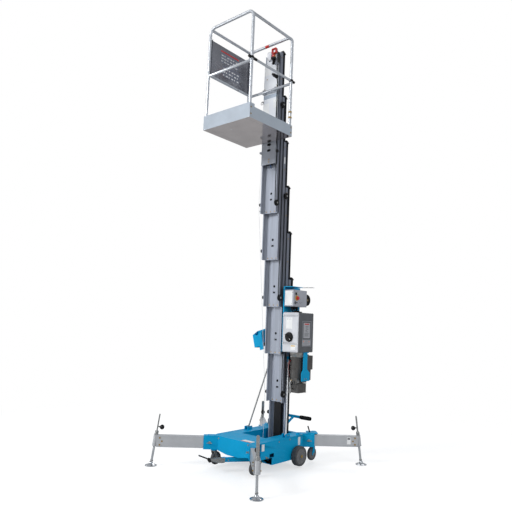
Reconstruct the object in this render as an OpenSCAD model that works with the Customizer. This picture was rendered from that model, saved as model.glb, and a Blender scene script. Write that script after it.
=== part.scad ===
// Push-around aerial work platform, drawn about half raised: six telescoping mast columns on a
// wheeled base, held level by four outriggers with screw jacks.
// Millimetres, Z up, front (the platform side) towards -Y, origin on the ground midway between
// the four feet.

/* [Outriggers] */
// Distance of each foot from the centre, left to right
foot_x = 708; // [695:1:720]
// Distance of each foot from the centre, front to rear
foot_y = 865; // [852:1:877]
// Diameter of a foot disc
foot_d = 120; // [90:1:150]
// Width of an outrigger beam
beam_w = 60; // [54:1:64]
// Height of an outrigger beam
beam_h = 116; // [108:1:120]
// Height of the beam centres above the ground
beam_z = 245; // [240:1:255]
// Wall of a beam
beam_wall = 4; // [3:0.5:6]
// Beam length from the foot to the socket mouth
beam_reach = 520; // [505:1:535]
// Beam length held inside its socket
beam_engaged = 185; // [170:1:195]
// Length of a socket
socket_len = 212; // [205:1:225]
// Wall of a socket
socket_wall = 6; // [4:0.5:8]
// Running gap between a beam and its socket, each side
socket_gap = 3; // [2:0.5:4]

/* [Jacks] */
// Inward lean of each jack, in degrees
jack_lean = 7; // [4:0.5:9]
// Diameter of the jack leg
jack_leg_d = 24; // [20:0.5:28]
// Diameter of the jack sleeve
jack_sleeve_d = 48; // [42:1:54]
// Length of the jack sleeve
jack_sleeve_len = 114; // [106:1:120]
// Height of the crank's top, along the jack
crank_top = 514; // [480:1:540]
// Width of the crank bar
crank_w = 30; // [24:1:36]
// Diameter of the crank knob
knob_d = 50; // [40:1:54]
// Distance of the knob from the jack's axis
knob_out = 45; // [42:1:55]
// Height of the knob along the jack
knob_s = 388; // [375:1:420]

/* [Chassis] */
// Half length of the deck's front edge
deck_front_half = 240; // [230:1:250]
// Half width of the chassis over its side panels
chassis_half = 300; // [295:1:302]
// Distance of the front panel from the centre
front_y = 420; // [410:1:430]
// Distance of the rear panel from the centre
rear_y = 405; // [400:1:412]
// Thickness of the deck plate
deck_t = 6; // [4:0.5:8]
// Thickness of the panels
panel_t = 5; // [3:0.5:6]
// Height of the side panels' lower edge
panel_low = 155; // [153:1:165]
// Half width of the mast well
well_half = 165; // [158:1:172]
// Front edge of the mast well
well_front = 110; // [100:1:125]
// Height of the tray's underside
tray_low = 83; // [76:1:90]
// Half length of the tray's front part
tray_front = 165; // [150:1:180]
// Rear end of the tray
tray_rear = 180; // [160:1:190]

/* [Wheels] */
// Diameter of a rear wheel
rear_wheel_d = 200; // [190:1:206]
// Width of a rear wheel
rear_wheel_w = 62; // [50:1:64]
// Height of the rear wheels' axle
rear_wheel_z = 118; // [116:1:124]
// Distance of the rear wheels' axle behind the centre
rear_wheel_y = 235; // [225:1:240]
// Diameter of a front caster wheel
front_caster_d = 130; // [120:1:132]
// Diameter of a rear caster wheel
rear_caster_d = 140; // [130:1:146]
// Width of a caster wheel
caster_w = 32; // [28:1:33]
// Trail of a caster
caster_trail = 30; // [26:1:34]

/* [Mast] */
// Width of a mast column
column_w = 224; // [216:1:228]
// Depth of a mast column
column_depth = 91; // [89:0.5:94]
// Distance from one column to the next, front to rear
mast_pitch = 56; // [54:0.5:58]
// Length of a mast column
column_len = 1857; // [1800:1:1900]
// Front face of the base column
base_front = 264; // [260:1:268]
// Height of the base column's foot
mast_foot_z = 111; // [109:1:114]
// How far each stage is raised in this pose
stage_lift = 516; // [480:1:560]
// Wall of a column
column_wall = 6; // [4.5:0.5:6.5]
// Depth of a column's side walls
column_side = 38; // [36:0.5:40]
// Half width of a column's rear neck
column_neck = 90; // [88:0.5:91]
// Front face of the column's web, from its front
web_y = 48; // [46:0.5:50]
// Height of the curved plastic cap on a column
cap_t = 30; // [24:1:36]
// Width of the carriage
carriage_w = 210; // [200:1:214]
// Height of the carriage
carriage_h = 1193; // [1150:1:1240]
// Diameter of a cable sheave
sheave_d = 68; // [64:1:70]
// Width of a cable sheave
sheave_w = 20; // [18:1:22]
// Diameter of the power cable
cable_d = 10; // [8:0.5:11]

/* [Platform] */
// Width of the platform floor
platform_w = 660; // [640:1:680]
// Length of the platform floor
platform_l = 690; // [670:1:710]
// Height of the floor's underside above the carriage's lower end
floor_up = 248; // [235:1:260]
// Height of the front toe board
toe_h = 155; // [145:1:165]
// Height of the side and rear toe boards
side_toe_h = 125; // [115:1:135]
// Sheet thickness of the floor and toe boards
sheet_t = 3; // [2:0.5:3]
// Diameter of the rail tube
rail_d = 32; // [28:0.5:34]
// Height of the top rail above the floor's underside
top_rail_up = 1152; // [1120:1:1180]
// Height of the middle rail above the floor's underside
mid_rail_up = 625; // [600:1:650]
// Bend radius of the guard rail corners
rail_bend = 70; // [60:1:80]

/* [Equipment] */
// Inner face of the equipment bracket's plate
bracket_x = 150; // [149:0.5:152]
// Width of the power case
case_w = 210; // [190:1:220]
// Depth of the power case, front to rear
case_depth = 270; // [250:1:280]
// Height of the power case
case_h = 420; // [400:1:425]
// Height of the power case's underside
case_z = 1180; // [1175:1:1190]
// Width of the ground control box
control_w = 127; // [115:1:135]
// Height of the ground control box
control_h = 181; // [170:1:185]
// Diameter of the isolator dial
dial_d = 104; // [90:1:110]
// Diameter of the loading wheel
loading_wheel_d = 130; // [120:1:140]

/* [Hidden] */
$fn = 64;
eps = 0.01;
// Running clearance of a shaft in its bore, each side
fit = 0.06;
// Gap between faces that pass each other
pass_gap = 0.4;
// Gap of a sliding piece on its guides
seat_gap = 0.3;

// Colours
blue = [0.0, 0.55, 0.78];
mast_grey = [0.67, 0.71, 0.77];
silver = [0.78, 0.80, 0.82];
steel = [0.62, 0.62, 0.62];
black = [0.1, 0.1, 0.1];
tyre_grey = [0.27, 0.27, 0.28];
case_light = [0.74, 0.75, 0.77];
case_dark = [0.35, 0.35, 0.37];
floor_grey = [0.72, 0.77, 0.82];

// Outrigger sizes
socket_w = beam_w + 2 * (socket_gap + socket_wall);
socket_h = beam_h + 2 * (socket_gap + socket_wall);
socket_out = -beam_reach;
socket_in = -beam_reach - socket_len;
deck_z = beam_z + socket_h / 2;
socket_low = beam_z - socket_h / 2;
// Distance along the jack at which its axis crosses the beam's centre
jack_mid = beam_z / cos(jack_lean);
hub_d = 38;
// The sleeve ends high enough for the crank's hub to turn clear of the beam's top
sleeve_high = (beam_z + beam_h / 2) * cos(jack_lean)
    + (jack_mid * sin(jack_lean) + hub_d) * sin(jack_lean);
sleeve_low = sleeve_high - jack_sleeve_len;
spigot_d = 14;
spigot_len = 30;
foot_ball_z = 28;

// Corners: [name, side in x, side in y]
corners = [["front_left", -1, -1], ["front_right", 1, -1], ["rear_left", -1, 1],
           ["rear_right", 1, 1]];

// Mast sizes
half_w = column_w / 2;
lip_in = half_w - 12;
inner_lip_in = column_neck + 4;
hook_half = column_neck + 10;
column_count = 5;
function column_front(i) = base_front - mast_pitch * i;
function column_z(i) = mast_foot_z + stage_lift * i;
function column_top(i) = column_z(i) + column_len;
carriage_front = column_front(column_count) - 21;
carriage_t = 7;
carriage_z = column_z(column_count) + stage_lift + 30;
carriage_top = carriage_z + carriage_h;
console_top = carriage_top + 150;

// Cable sheaves hang off the right side walls, their runs one mast pitch apart
sheave_r = mast_pitch / 2;
sheave_axle_d = 12;
sheave_plate_t = 4;
sheave_x = half_w + sheave_plate_t + 2;
cable_x = sheave_x + sheave_w / 2;
sheave_ahead = 8;
function sheave_y(i) = column_front(i) - sheave_ahead;
function sheave_low(i) = i % 2 == 1;
function sheave_z(i) = sheave_low(i) ? column_z(i) + 95 : column_top(i) - 105;
function cable_run_y(i) = sheave_y(1) + sheave_r - mast_pitch * i;
cable_top_anchor = column_top(0) - 100;
cable_carriage_anchor = carriage_z + 130;
wire_anchor = carriage_z + 165;

// Lift chain sizes
chain_t = 6;
chain_w = 14;
pulley_r = 22;
pulley_y = web_y + column_wall / 2;
function chain_x(i) = i % 2 == 1 ? 66 : 44;
crosshead_r = 19;
crosshead_y = base_front + crosshead_r + 6;
crosshead_z = 1050 + stage_lift / 2;
cylinder_d = 32;
cylinder_top = 1000;
rod_d = 20;
// Height of the fixed end of the crosshead's chain above the mast's foot
crosshead_hold = 892;

// Platform sizes
platform_rear = carriage_front - 15;
platform_front = platform_rear - platform_l;
floor_z = carriage_z + floor_up;
half_p = platform_w / 2;
post_x = half_p - sheet_t - rail_d / 2;
post_front = platform_front + sheet_t + rail_d / 2;
post_rear = platform_rear - sheet_t - rail_d / 2;
top_rail_z = floor_z + top_rail_up;
mid_rail_z = floor_z + mid_rail_up;
rail_wall = 2.5;

// Equipment places
bracket_t = 5;
unit_x = bracket_x + bracket_t;
case_front = 124;
control_front = 131;
control_depth = 243;
control_z = 1664;
loading_y = 485;
loading_z = 1750;
button_d = 40;
hanger_x = unit_x + 182;
hanger_t = 6;

// A box from its low corner to its high corner
module block(low, high) { translate(low) cube(high - low); }

// A round bar between two points
module bar(from, to, d) {
    v = to - from;
    translate(from)
        rotate([0, acos(v[2] / norm(v)), atan2(v[1], v[0])])
            cylinder(d = d, h = norm(v));
}

// A round tube between two points
module tube(from, to, d, wall) {
    difference() {
        bar(from, to, d);
        v = (to - from) / norm(to - from);
        bar(from - v, to + v, d - 2 * wall);
    }
}

// A cylinder along X, from x0 to x1
module x_bar(x0, x1, y, z, d) {
    translate([x0, y, z]) rotate([0, 90, 0]) cylinder(d = d, h = x1 - x0);
}

// A cylinder along Y, from y0 to y1
module y_bar(x, y0, y1, z, d) {
    translate([x, y0, z]) rotate([-90, 0, 0]) cylinder(d = d, h = y1 - y0);
}

// A rectangle with round corners, centred
module round_rect(w, h, r) {
    square([w - 2 * r, h], center = true);
    square([w, h - 2 * r], center = true);
    for (x = [-1, 1], y = [-1, 1])
        translate([x * (w / 2 - r), y * (h / 2 - r)]) circle(r);
}

// Puts children in a corner's own frame: foot at the origin, +X outwards along the beam
module at_corner(c) {
    translate([c[1] * foot_x, c[2] * foot_y, 0])
        rotate([0, 0, atan2(c[2], c[1])]) children();
}

// The same frame, laid along the leaning jack
module along_jack() { rotate([0, -jack_lean, 0]) children(); }

// Mirrors children to both sides
module both_sides() {
    children();
    mirror([1, 0, 0]) children();
}

// OUTRIGGERS

bolt_d = 12;
beam_bolt_x = -78;

module beam_section() {
    groove = 1.5;
    difference() {
        square([beam_w, beam_h], center = true);
        square([beam_w - 2 * beam_wall, beam_h - 2 * beam_wall], center = true);
        for (s = [-1, 1], h = [-1, 1])
            translate([s * beam_w / 2, h * (beam_h / 2 - 16)])
                square([2 * groove, 3], center = true);
    }
}

module outrigger_beam(c) {
    color(silver) at_corner(c) {
        difference() {
            union() {
                translate([-beam_reach - beam_engaged, 0, beam_z])
                    rotate([90, 0, 90])
                        linear_extrude(beam_reach + beam_engaged - 44) beam_section();
                along_jack() translate([0, 0, sleeve_low])
                    cylinder(d = jack_sleeve_d, h = jack_sleeve_len);
                for (h = [-1, 1])
                    y_bar(beam_bolt_x, -beam_w / 2 - 5, beam_w / 2 + 5, beam_z + h * 34, bolt_d);
            }
            along_jack() translate([0, 0, sleeve_low - 20])
                cylinder(d = jack_leg_d + 2 * fit, h = jack_sleeve_len + 40);
        }
    }
}

module foot() {
    pad_t = 8;
    cylinder(d = foot_d, h = pad_t);
    translate([0, 0, pad_t]) cylinder(d1 = foot_d - 16, d2 = foot_d / 3, h = 14);
    translate([0, 0, foot_ball_z]) sphere(d = foot_d / 3 - 4);
}

module jack_leg(c) {
    color(steel) at_corner(c) {
        foot();
        along_jack() {
            translate([0, 0, foot_ball_z]) cylinder(d = jack_leg_d, h = sleeve_high + 1 - foot_ball_z);
            translate([0, 0, sleeve_high]) cylinder(d = spigot_d, h = spigot_len + 1);
        }
    }
}

module jack_crank(c) {
    hub_low = sleeve_high + 1 + pass_gap;
    hub_high = sleeve_high + spigot_len + 8;
    bar_t = 12;
    color(black) at_corner(c) along_jack() difference() {
        union() {
            translate([0, 0, hub_low]) cylinder(d = hub_d, h = hub_high - hub_low);
            block([-bar_t / 2, -crank_w / 2, hub_high - 4],
                  [bar_t / 2, crank_w / 2, crank_top - crank_w / 2]);
            x_bar(-bar_t / 2, bar_t / 2, 0, crank_top - crank_w / 2, crank_w);
            x_bar(-knob_out, 0, 0, knob_s, 12);
            translate([-knob_out, 0, knob_s]) rotate([0, 90, 0]) sphere(d = knob_d);
        }
        translate([0, 0, sleeve_high]) cylinder(d = spigot_d + 2 * fit, h = spigot_len + 1.5);
    }
}

// CHASSIS

module deck_outline() {
    cut = chassis_half - deck_front_half;
    polygon([
        [-deck_front_half, -front_y], [deck_front_half, -front_y],
        [chassis_half, -front_y + cut], [chassis_half, rear_y - cut],
        [deck_front_half, rear_y], [-deck_front_half, rear_y],
        [-chassis_half, rear_y - cut], [-chassis_half, -front_y + cut]]);
}

well_rear = base_front + column_depth + 8;
front_low = 150;
front_chamfer_x = 80;

module deck() {
    translate([0, 0, deck_z - deck_t]) linear_extrude(deck_t) difference() {
        deck_outline();
        translate([-well_half, -well_front]) square([2 * well_half, well_front + well_rear]);
    }
}

// Side and rear panels under the deck
module skirt() {
    both_sides()
        block([chassis_half - panel_t, -front_y + 75, panel_low],
              [chassis_half, rear_y - 60, deck_z]);
    block([-deck_front_half, rear_y - panel_t, panel_low + 20], [deck_front_half, rear_y, deck_z]);
}

// The front panel, stepped up at both ends to clear the casters
module front_panel() {
    translate([0, -front_y + panel_t, 0]) rotate([90, 0, 0]) linear_extrude(panel_t)
        polygon([
            [-deck_front_half, deck_z], [-deck_front_half, socket_low],
            [-front_chamfer_x, front_low], [front_chamfer_x, front_low],
            [deck_front_half, socket_low], [deck_front_half, deck_z]]);
}

well_floor_z = mast_foot_z - 12;

module well() {
    well_t = 4;
    difference() {
        block([-well_half - well_t, -well_front - well_t, well_floor_z],
              [well_half + well_t, well_rear + well_t, deck_z - deck_t + eps]);
        block([-well_half, -well_front, well_floor_z + 6], [well_half, well_rear, deck_z + 1]);
    }
    block([-half_w - 10, base_front - 4, well_floor_z + 5],
          [half_w + 10, well_rear + 1, mast_foot_z]);
}

module tray() {
    difference() {
        block([-chassis_half, -tray_front, tray_low], [chassis_half, tray_rear, panel_low + 1]);
        for (s = [0, 1]) mirror([s, 0, 0])
            block([well_half + 9, -tray_front - 1, tray_low + panel_t],
                  [chassis_half - panel_t, tray_rear + 1, panel_low + 2]);
        block([-well_half - 4, -tray_front - 1, tray_low + panel_t],
              [well_half + 4, tray_rear + 1, panel_low + 2]);
    }
}

module socket(c) {
    at_corner(c) block([socket_in, -socket_w / 2, socket_low], [socket_out, socket_w / 2, deck_z]);
}

// The bore guides the beam closely at both ends and is wider between them
module socket_bore(c) {
    guide = 25;
    near_w = beam_w / 2 + seat_gap;
    near_h = beam_h / 2 + seat_gap;
    at_corner(c) {
        block([socket_in - 1, -near_w, beam_z - near_h], [socket_out + 1, near_w, beam_z + near_h]);
        block([socket_in + guide, -socket_w / 2 + socket_wall, socket_low + socket_wall],
              [socket_out - guide, socket_w / 2 - socket_wall, deck_z - socket_wall]);
    }
}

// Places of the casters, in their corner's frame
front_caster_at = [-631, 0];
rear_caster_at = [-511, 80];
caster_stem_d = 16;
front_pad_z = socket_low - 11;
rear_housing_low = 270;

module front_caster_pad(c) {
    at_corner(c) translate([front_caster_at[0], 0, front_pad_z]) difference() {
        cylinder(d = 64, h = socket_low - front_pad_z + 1);
        translate([0, 0, -1]) cylinder(d = caster_stem_d + 2 * fit, h = 9);
    }
}

// The rear caster's side in its corner's frame: the one that faces the rear
function rear_side(c) = c[1];

module rear_caster_bracket(c) {
    s = rear_side(c);
    at_corner(c) difference() {
        union() {
            translate([rear_caster_at[0], s * rear_caster_at[1], rear_housing_low])
                cylinder(d = 56, h = deck_z + 10 - rear_housing_low);
            mirror([0, s < 0 ? 1 : 0, 0]) {
                block([socket_out - 75, -10, deck_z - 1],
                      [rear_caster_at[0] + 30, rear_caster_at[1] + 24, deck_z + 8]);
                block([socket_out - 75, socket_w / 2 - 1, rear_housing_low],
                      [socket_out - 8, rear_caster_at[1] - 14, deck_z]);
            }
        }
        translate([rear_caster_at[0], s * rear_caster_at[1], rear_housing_low - 1])
            cylinder(d = caster_stem_d + 2 * fit, h = 31);
        // Room for the beam, which lies beside the bracket
        block([socket_out + 1, -beam_w / 2 - 3, socket_low], [0, beam_w / 2 + 3, deck_z - 1.5]);
    }
}

brake_at = [-30, -451, 120];
brake_turn = -125;
brake_pivot = 50;
brake_arm_w = 28;
brake_arm_h = 42;
brake_pin_d = 10;

module in_brake_frame() { translate(brake_at) rotate([0, 0, brake_turn]) children(); }

module brake_arm() {
    in_brake_frame() difference() {
        union() {
            block([-260, -brake_arm_w / 2, -brake_arm_h / 2],
                  [brake_pivot + 8, brake_arm_w / 2, brake_arm_h / 2]);
            block([-190, -brake_arm_w / 2, brake_arm_h / 2 - 1], [-150, brake_arm_w / 2, 60]);
        }
        y_bar(brake_pivot, -brake_arm_w, brake_arm_w, 0, brake_pin_d + 2 * fit);
    }
}

module side_opening() {
    block([chassis_half - 2 * panel_t, -205, panel_low + 3], [chassis_half + 1, -135, panel_low + 40]);
}

module brace_clips() {
    both_sides() {
        block([chassis_half - 62, 60, deck_z - 1], [chassis_half - 56, 140, deck_z + 36]);
        block([chassis_half - 22, 60, deck_z - 1], [chassis_half - 16, 140, deck_z + 36]);
    }
}

module chassis() {
    color(blue) difference() {
        union() {
            deck();
            skirt();
            front_panel();
            well();
            tray();
            brake_arm();
            brace_clips();
            // Cross members that carry the brake arm and stiffen the deck
            block([-chassis_half + 1, -320, deck_z - 40], [chassis_half - 1, -312, deck_z]);
            block([-140, -320, 160], [140, -312, deck_z]);
            for (c = corners) {
                socket(c);
                if (c[2] < 0) front_caster_pad(c);
                if (c[2] > 0) rear_caster_bracket(c);
            }
            // Axle blocks of the rear wheels
            both_sides()
                block([chassis_half - 45, rear_wheel_y - 24, rear_wheel_z - 24],
                      [chassis_half - 1, rear_wheel_y + 24, panel_low + 10]);
            // Round boss on the deck
            translate([chassis_half - 32, 298, deck_z - 1]) cylinder(d = 44, h = 18);
        }
        for (c = corners) socket_bore(c);
        both_sides() side_opening();
        both_sides()
            x_bar(chassis_half - 46, chassis_half, rear_wheel_y, rear_wheel_z, axle_d + 2 * fit);
        // Bolt holes in the brace clips
        both_sides()
            x_bar(chassis_half - 63, chassis_half - 15, brace_foot_y, brace_foot_z, 10 + 2 * fit);
    }
}

axle_d = 20;
wheel_gap = 6;
wheel_in = chassis_half + wheel_gap;
wheel_out = wheel_in + rear_wheel_w;

module lock_pin(c) {
    s = -rear_side(c);
    at_corner(c) mirror([0, s < 0 ? 1 : 0, 0]) {
        y_bar(socket_out - 62, socket_w / 2, socket_w / 2 + 22, beam_z, 12);
        x_bar(socket_out - 84, socket_out - 40, socket_w / 2 + 22, beam_z, 7);
    }
}

module chassis_fittings() {
    color(steel) {
        for (c = corners) lock_pin(c);
        // Rear wheel axles with their end bolts
        both_sides() {
            x_bar(chassis_half - 45, wheel_out + 1, rear_wheel_y, rear_wheel_z, axle_d);
            x_bar(wheel_out + 1, wheel_out + 8, rear_wheel_y, rear_wheel_z, axle_d + 10);
        }
        // Bolts on the front of the tray and on the brake arm
        x_bar(chassis_half, chassis_half + 5, -235, panel_low + 8, 12);
        x_bar(chassis_half, chassis_half + 5, -255, panel_low + 8, 12);
        in_brake_frame() y_bar(0, brake_arm_w / 2, brake_arm_w / 2 + 16, 0, 12);
        // Hinge bolts at the feet of the braces
        both_sides() x_bar(chassis_half - 66, chassis_half - 12, brace_foot_y, brace_foot_z, 10);
        // Lock levers of the rear casters
        for (c = corners) if (c[2] > 0) at_corner(c)
            mirror([0, rear_side(c) < 0 ? 1 : 0, 0])
                translate([socket_out - 45, 28, deck_z + 9.9]) rotate([0, -18, 0])
                    block([-6, -12, 0], [6, 12, 64]);
    }
}

// WHEELS

module wheel(d, w, bore, hub_d) {
    rotate([0, 90, 0]) rotate_extrude() polygon([
        [bore / 2 + fit, -w / 2], [hub_d / 2, -w / 2], [hub_d / 2, -w / 2 + 4],
        [d / 2 - 20, -w / 2 + 4], [d / 2 - 16, -w / 2], [d / 2 - 5, -w / 2],
        [d / 2, -w / 2 + 7], [d / 2, w / 2 - 7], [d / 2 - 5, w / 2],
        [d / 2 - 16, w / 2], [d / 2 - 20, w / 2 - 4], [hub_d / 2, w / 2 - 4],
        [hub_d / 2, w / 2], [bore / 2 + fit, w / 2]]);
}

module rear_wheel(side) {
    color(tyre_grey)
        translate([side * (wheel_in + wheel_out) / 2, rear_wheel_y, rear_wheel_z])
            wheel(rear_wheel_d, rear_wheel_w, axle_d, 60);
}

caster_axle_d = 12;
caster_cheek = 5;
caster_inner = caster_w / 2 + 2.5;
function front_caster_x(side) = side * (foot_x + front_caster_at[0] / sqrt(2));
front_caster_y = -(foot_y + front_caster_at[0] / sqrt(2));
front_caster_z = 20 + front_caster_d / 2;
function rear_caster_x(side) =
    side * (foot_x + (rear_caster_at[0] - rear_caster_at[1]) / sqrt(2));
rear_caster_y = foot_y + (rear_caster_at[0] + rear_caster_at[1]) / sqrt(2);
rear_caster_z = 20 + rear_caster_d / 2;

// A swivel fork with its stem at the origin in plan, trailing towards y = trail
module caster_fork(top, stem_top, axle_z, trail, crown_t) {
    reach = caster_inner + caster_cheek;
    for (s = [0, 1]) mirror([s, 0, 0])
        translate([caster_inner, 0, 0]) rotate([90, 0, 90]) linear_extrude(caster_cheek)
            polygon([
                [-20, top], [-20, top - crown_t], [trail - 16, axle_z - 4],
                [trail - 8, axle_z - 14], [trail + 8, axle_z - 14], [trail + 16, axle_z - 4],
                [20, top - crown_t - 4], [20, top]]);
    block([-reach, -20, top - crown_t], [reach, 20, top]);
    translate([0, 0, top - 1]) cylinder(d = caster_stem_d, h = stem_top - top + 1);
    x_bar(-reach, reach, trail, axle_z, caster_axle_d);
}

module front_caster_fork(side) {
    color(steel) translate([front_caster_x(side), front_caster_y, 0])
        caster_fork(front_pad_z - 1, front_pad_z + 7, front_caster_z, caster_trail, 10);
}

module front_caster_wheel(side) {
    color(tyre_grey)
        translate([front_caster_x(side), front_caster_y + caster_trail, front_caster_z])
            wheel(front_caster_d, caster_w, caster_axle_d, 36);
}

module rear_caster_fork(side) {
    color(blue) translate([rear_caster_x(side), rear_caster_y, 0])
        caster_fork(rear_housing_low - 1, rear_housing_low + 28, rear_caster_z, -caster_trail, 12);
}

module rear_caster_wheel(side) {
    color(tyre_grey)
        translate([rear_caster_x(side), rear_caster_y - caster_trail, rear_caster_z])
            wheel(rear_caster_d, caster_w, caster_axle_d, 36);
}

module brake_pedal() {
    cheek_in = brake_arm_w / 2 + pass_gap;
    color(steel) in_brake_frame() {
        for (s = [0, 1]) mirror([0, s, 0])
            translate([0, cheek_in + 5, 0]) rotate([90, 0, 0]) linear_extrude(5)
                polygon([[32, 22], [32, -24], [60, -30], [110, -26], [198, 2], [198, 12]]);
        // Block that joins the two cheeks ahead of the arm
        block([brake_pivot + 24, -cheek_in - 1, -16], [brake_pivot + 84, cheek_in + 1, 14]);
        y_bar(brake_pivot, -cheek_in - 9, cheek_in + 9, 0, brake_pin_d);
        // Foot bar across the end
        y_bar(190, -cheek_in - 8, cheek_in + 44, 2, 28);
        bar([194, -cheek_in + 8, 6], [270, -cheek_in - 104, 14], 13);
    }
}

// MAST

module column_section() {
    k = column_wall / 2;
    shoulder = web_y + column_wall - column_side;
    both_sides() {
        polygon([
            [half_w, 0], [half_w, column_side], [column_neck, column_side + shoulder],
            [column_neck, column_depth], [column_neck - column_wall, column_depth],
            [column_neck - column_wall, column_side + shoulder - k],
            [half_w - column_wall, column_side - k], [half_w - column_wall, 0]]);
        // Front lip, inner guide lip and rear hook
        translate([lip_in, 0]) square([half_w - lip_in, 5]);
        translate([inner_lip_in, 10]) square([half_w - inner_lip_in, 6]);
        translate([column_neck - column_wall, column_depth - 6])
            square([hook_half - column_neck + column_wall, 6]);
    }
    translate([-column_neck, web_y]) square([2 * column_neck, column_wall]);
}

screw_y = 19;

module column_body() {
    difference() {
        linear_extrude(column_len) column_section();
        // Inspection hole and slot near the foot
        y_bar(0, web_y - 1, web_y + column_wall + 1, 225, 22);
        block([-15, web_y - 1, 152], [15, web_y + column_wall + 1, 162]);
    }
}

module column_cap() {
    cap_front = web_y - 8;
    cap_r = mast_pitch + 4;
    translate([-half_w, 0, 0]) rotate([90, 0, 90]) linear_extrude(column_w)
        intersection() {
            translate([cap_front, 0]) square([mast_pitch - 2, cap_t]);
            translate([cap_front, cap_t - cap_r]) circle(cap_r);
        }
}

// Black pads that guide the next column's neck, near the top of a column
module guide_pads() {
    pad_len = 180;
    pad_in = column_neck + 0.3;
    both_sides()
        block([pad_in, 8, column_len - pad_len - 20], [inner_lip_in, 18, column_len - 20]);
}

// Chain pulley in the head of a column, on a pin through the web's notch
module chain_pulleys(i) {
    both_sides() translate([chain_x(i), pulley_y, column_len - pulley_r - 6])
        rotate([0, 90, 0])
            cylinder(r = pulley_r - chain_t / 2 - 0.1, h = chain_w + 4, center = true);
}

module pulley_notch(i) {
    both_sides() block([chain_x(i) - 12, web_y - 1, column_len - 2 * pulley_r - 12],
                       [chain_x(i) + 12, web_y + column_wall + 1, column_len + 1]);
}

module pulley_pin() {
    x_bar(-column_neck + column_wall, column_neck - column_wall, pulley_y,
          column_len - pulley_r - 6, 10);
}

module side_screws(web_x) {
    for (h = [60, 320])
        x_bar(half_w, half_w + 3, screw_y, column_len - h, 12);
    for (x = web_x)
        y_bar(x, web_y - 3, web_y, 18, 9);
}

// Bracket and axle of the cable sheave, in the column's own frame
module sheave_bracket(z_low) {
    plate_front = -sheave_ahead - sheave_axle_d / 2 - 1.5;
    block([half_w, plate_front, z_low - 30], [half_w + sheave_plate_t, 20, z_low + 30]);
    x_bar(half_w + 1, sheave_x + sheave_w + 1, -sheave_ahead, z_low, sheave_axle_d);
    x_bar(sheave_x + sheave_w + 0.6, sheave_x + sheave_w + 5, -sheave_ahead, z_low, 20);
}

// Small guide pulley of the sequence wire, on the left side wall
wire_x = -half_w - 16;
wire_y = 0;
wire_d = 4;

module wire_guide(i) {
    z = 100;
    y = 12;
    x_bar(-half_w - 12, -half_w, y, z, 10);
    x_bar(-half_w - 12, -half_w - 3, y, z, 40);
}

// Anchor that takes the chain's lower end, on the rear of a column's web
module chain_anchor(x, reach) {
    both_sides() block([x - 9, web_y + column_wall - 1, 24], [x + 9, web_y + column_wall + reach, 44]);
}

// Anchor near a column's top that holds the next column's chain
module chain_hold(x, chain_y) {
    both_sides() block([x - 9, chain_y - chain_t, column_len - 150], [x + 9, web_y + 1, column_len - 130]);
}

function front_run_y(i) = column_front(i) + pulley_y - pulley_r;
function rear_run_y(i) = column_front(i) + pulley_y + pulley_r;

module mast_column(i) {
    translate([0, column_front(i), column_z(i)]) {
        color(mast_grey) difference() {
            union() {
                column_body();
                // The chain from the column behind ends here
                chain_anchor(i == 1 ? 0 : chain_x(i - 1),
                             (i == 1 ? crosshead_y - crosshead_r : front_run_y(i - 1))
                             - column_front(i) - web_y - column_wall + chain_t / 2);
                if (i < column_count) chain_hold(chain_x(i + 1), rear_run_y(i + 1) - column_front(i));
            }
            pulley_notch(i);
        }
        color(steel) {
            difference() {
                pulley_pin();
                chain_pulleys(i);
            }
            chain_pulleys(i);
            side_screws([-60, 0, 60]);
            sheave_bracket(sheave_z(i) - column_z(i));
        }
        color(black) {
            guide_pads();
            wire_guide(i);
            translate([0, 0, column_len]) column_cap();
        }
    }
}

module mast_base_column() {
    translate([0, base_front, mast_foot_z]) {
        color(mast_grey) union() {
            column_body();
            chain_hold(chain_x(1), rear_run_y(1) - base_front);
            // Anchor of the crosshead's chain
            block([-12, crosshead_y + crosshead_r - base_front - chain_t / 2, crosshead_hold],
                  [12, web_y + 1, crosshead_hold + 14]);
        }
        color(steel) side_screws([-70, 70]);
        color(black) {
            guide_pads();
            translate([0, 0, column_len]) column_cap();
        }
    }
}

module cable_sheave(i) {
    groove = cable_d / 2 + 0.4;
    color(black) translate([sheave_x, sheave_y(i), sheave_z(i)]) rotate([0, 90, 0])
        difference() {
            cylinder(d = sheave_d, h = sheave_w);
            translate([0, 0, sheave_w / 2]) rotate_extrude()
                translate([sheave_r, 0]) {
                    circle(groove);
                    translate([0, -groove]) square([sheave_d, 2 * groove]);
                }
            translate([0, 0, -1]) cylinder(d = sheave_axle_d + 2 * fit, h = sheave_w + 2);
        }
}

// CHAINS AND CABLES

// A chain run with its half turn over a pulley: front run down to z_front, rear run down to z_rear
module chain(x, y, z, r, z_front, z_rear) {
    block([x - chain_w / 2, y - r - chain_t / 2, z_front], [x + chain_w / 2, y - r + chain_t / 2, z]);
    block([x - chain_w / 2, y + r - chain_t / 2, z_rear], [x + chain_w / 2, y + r + chain_t / 2, z]);
    translate([x - chain_w / 2, y, z]) rotate([90, 0, 90]) linear_extrude(chain_w)
        intersection() {
            difference() {
                circle(r + chain_t / 2);
                circle(r - chain_t / 2);
            }
            translate([-2 * r, 0]) square([4 * r, 2 * r]);
        }
}

anchor_top = 44;
hold_low = 150;

module lift_chains() {
    color(black) {
        chain(0, crosshead_y, crosshead_z, crosshead_r, column_z(1) + anchor_top,
              mast_foot_z + crosshead_hold + 14);
        for (i = [1:column_count], s = [-1, 1]) {
            y = column_front(i) + pulley_y;
            z = column_top(i) - pulley_r - 6;
            lower = i < column_count ? column_z(i + 1) + anchor_top : carriage_z + anchor_top;
            chain(s * chain_x(i), y, z, pulley_r, lower, column_top(i - 1) - hold_low + 20);
        }
    }
}

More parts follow.
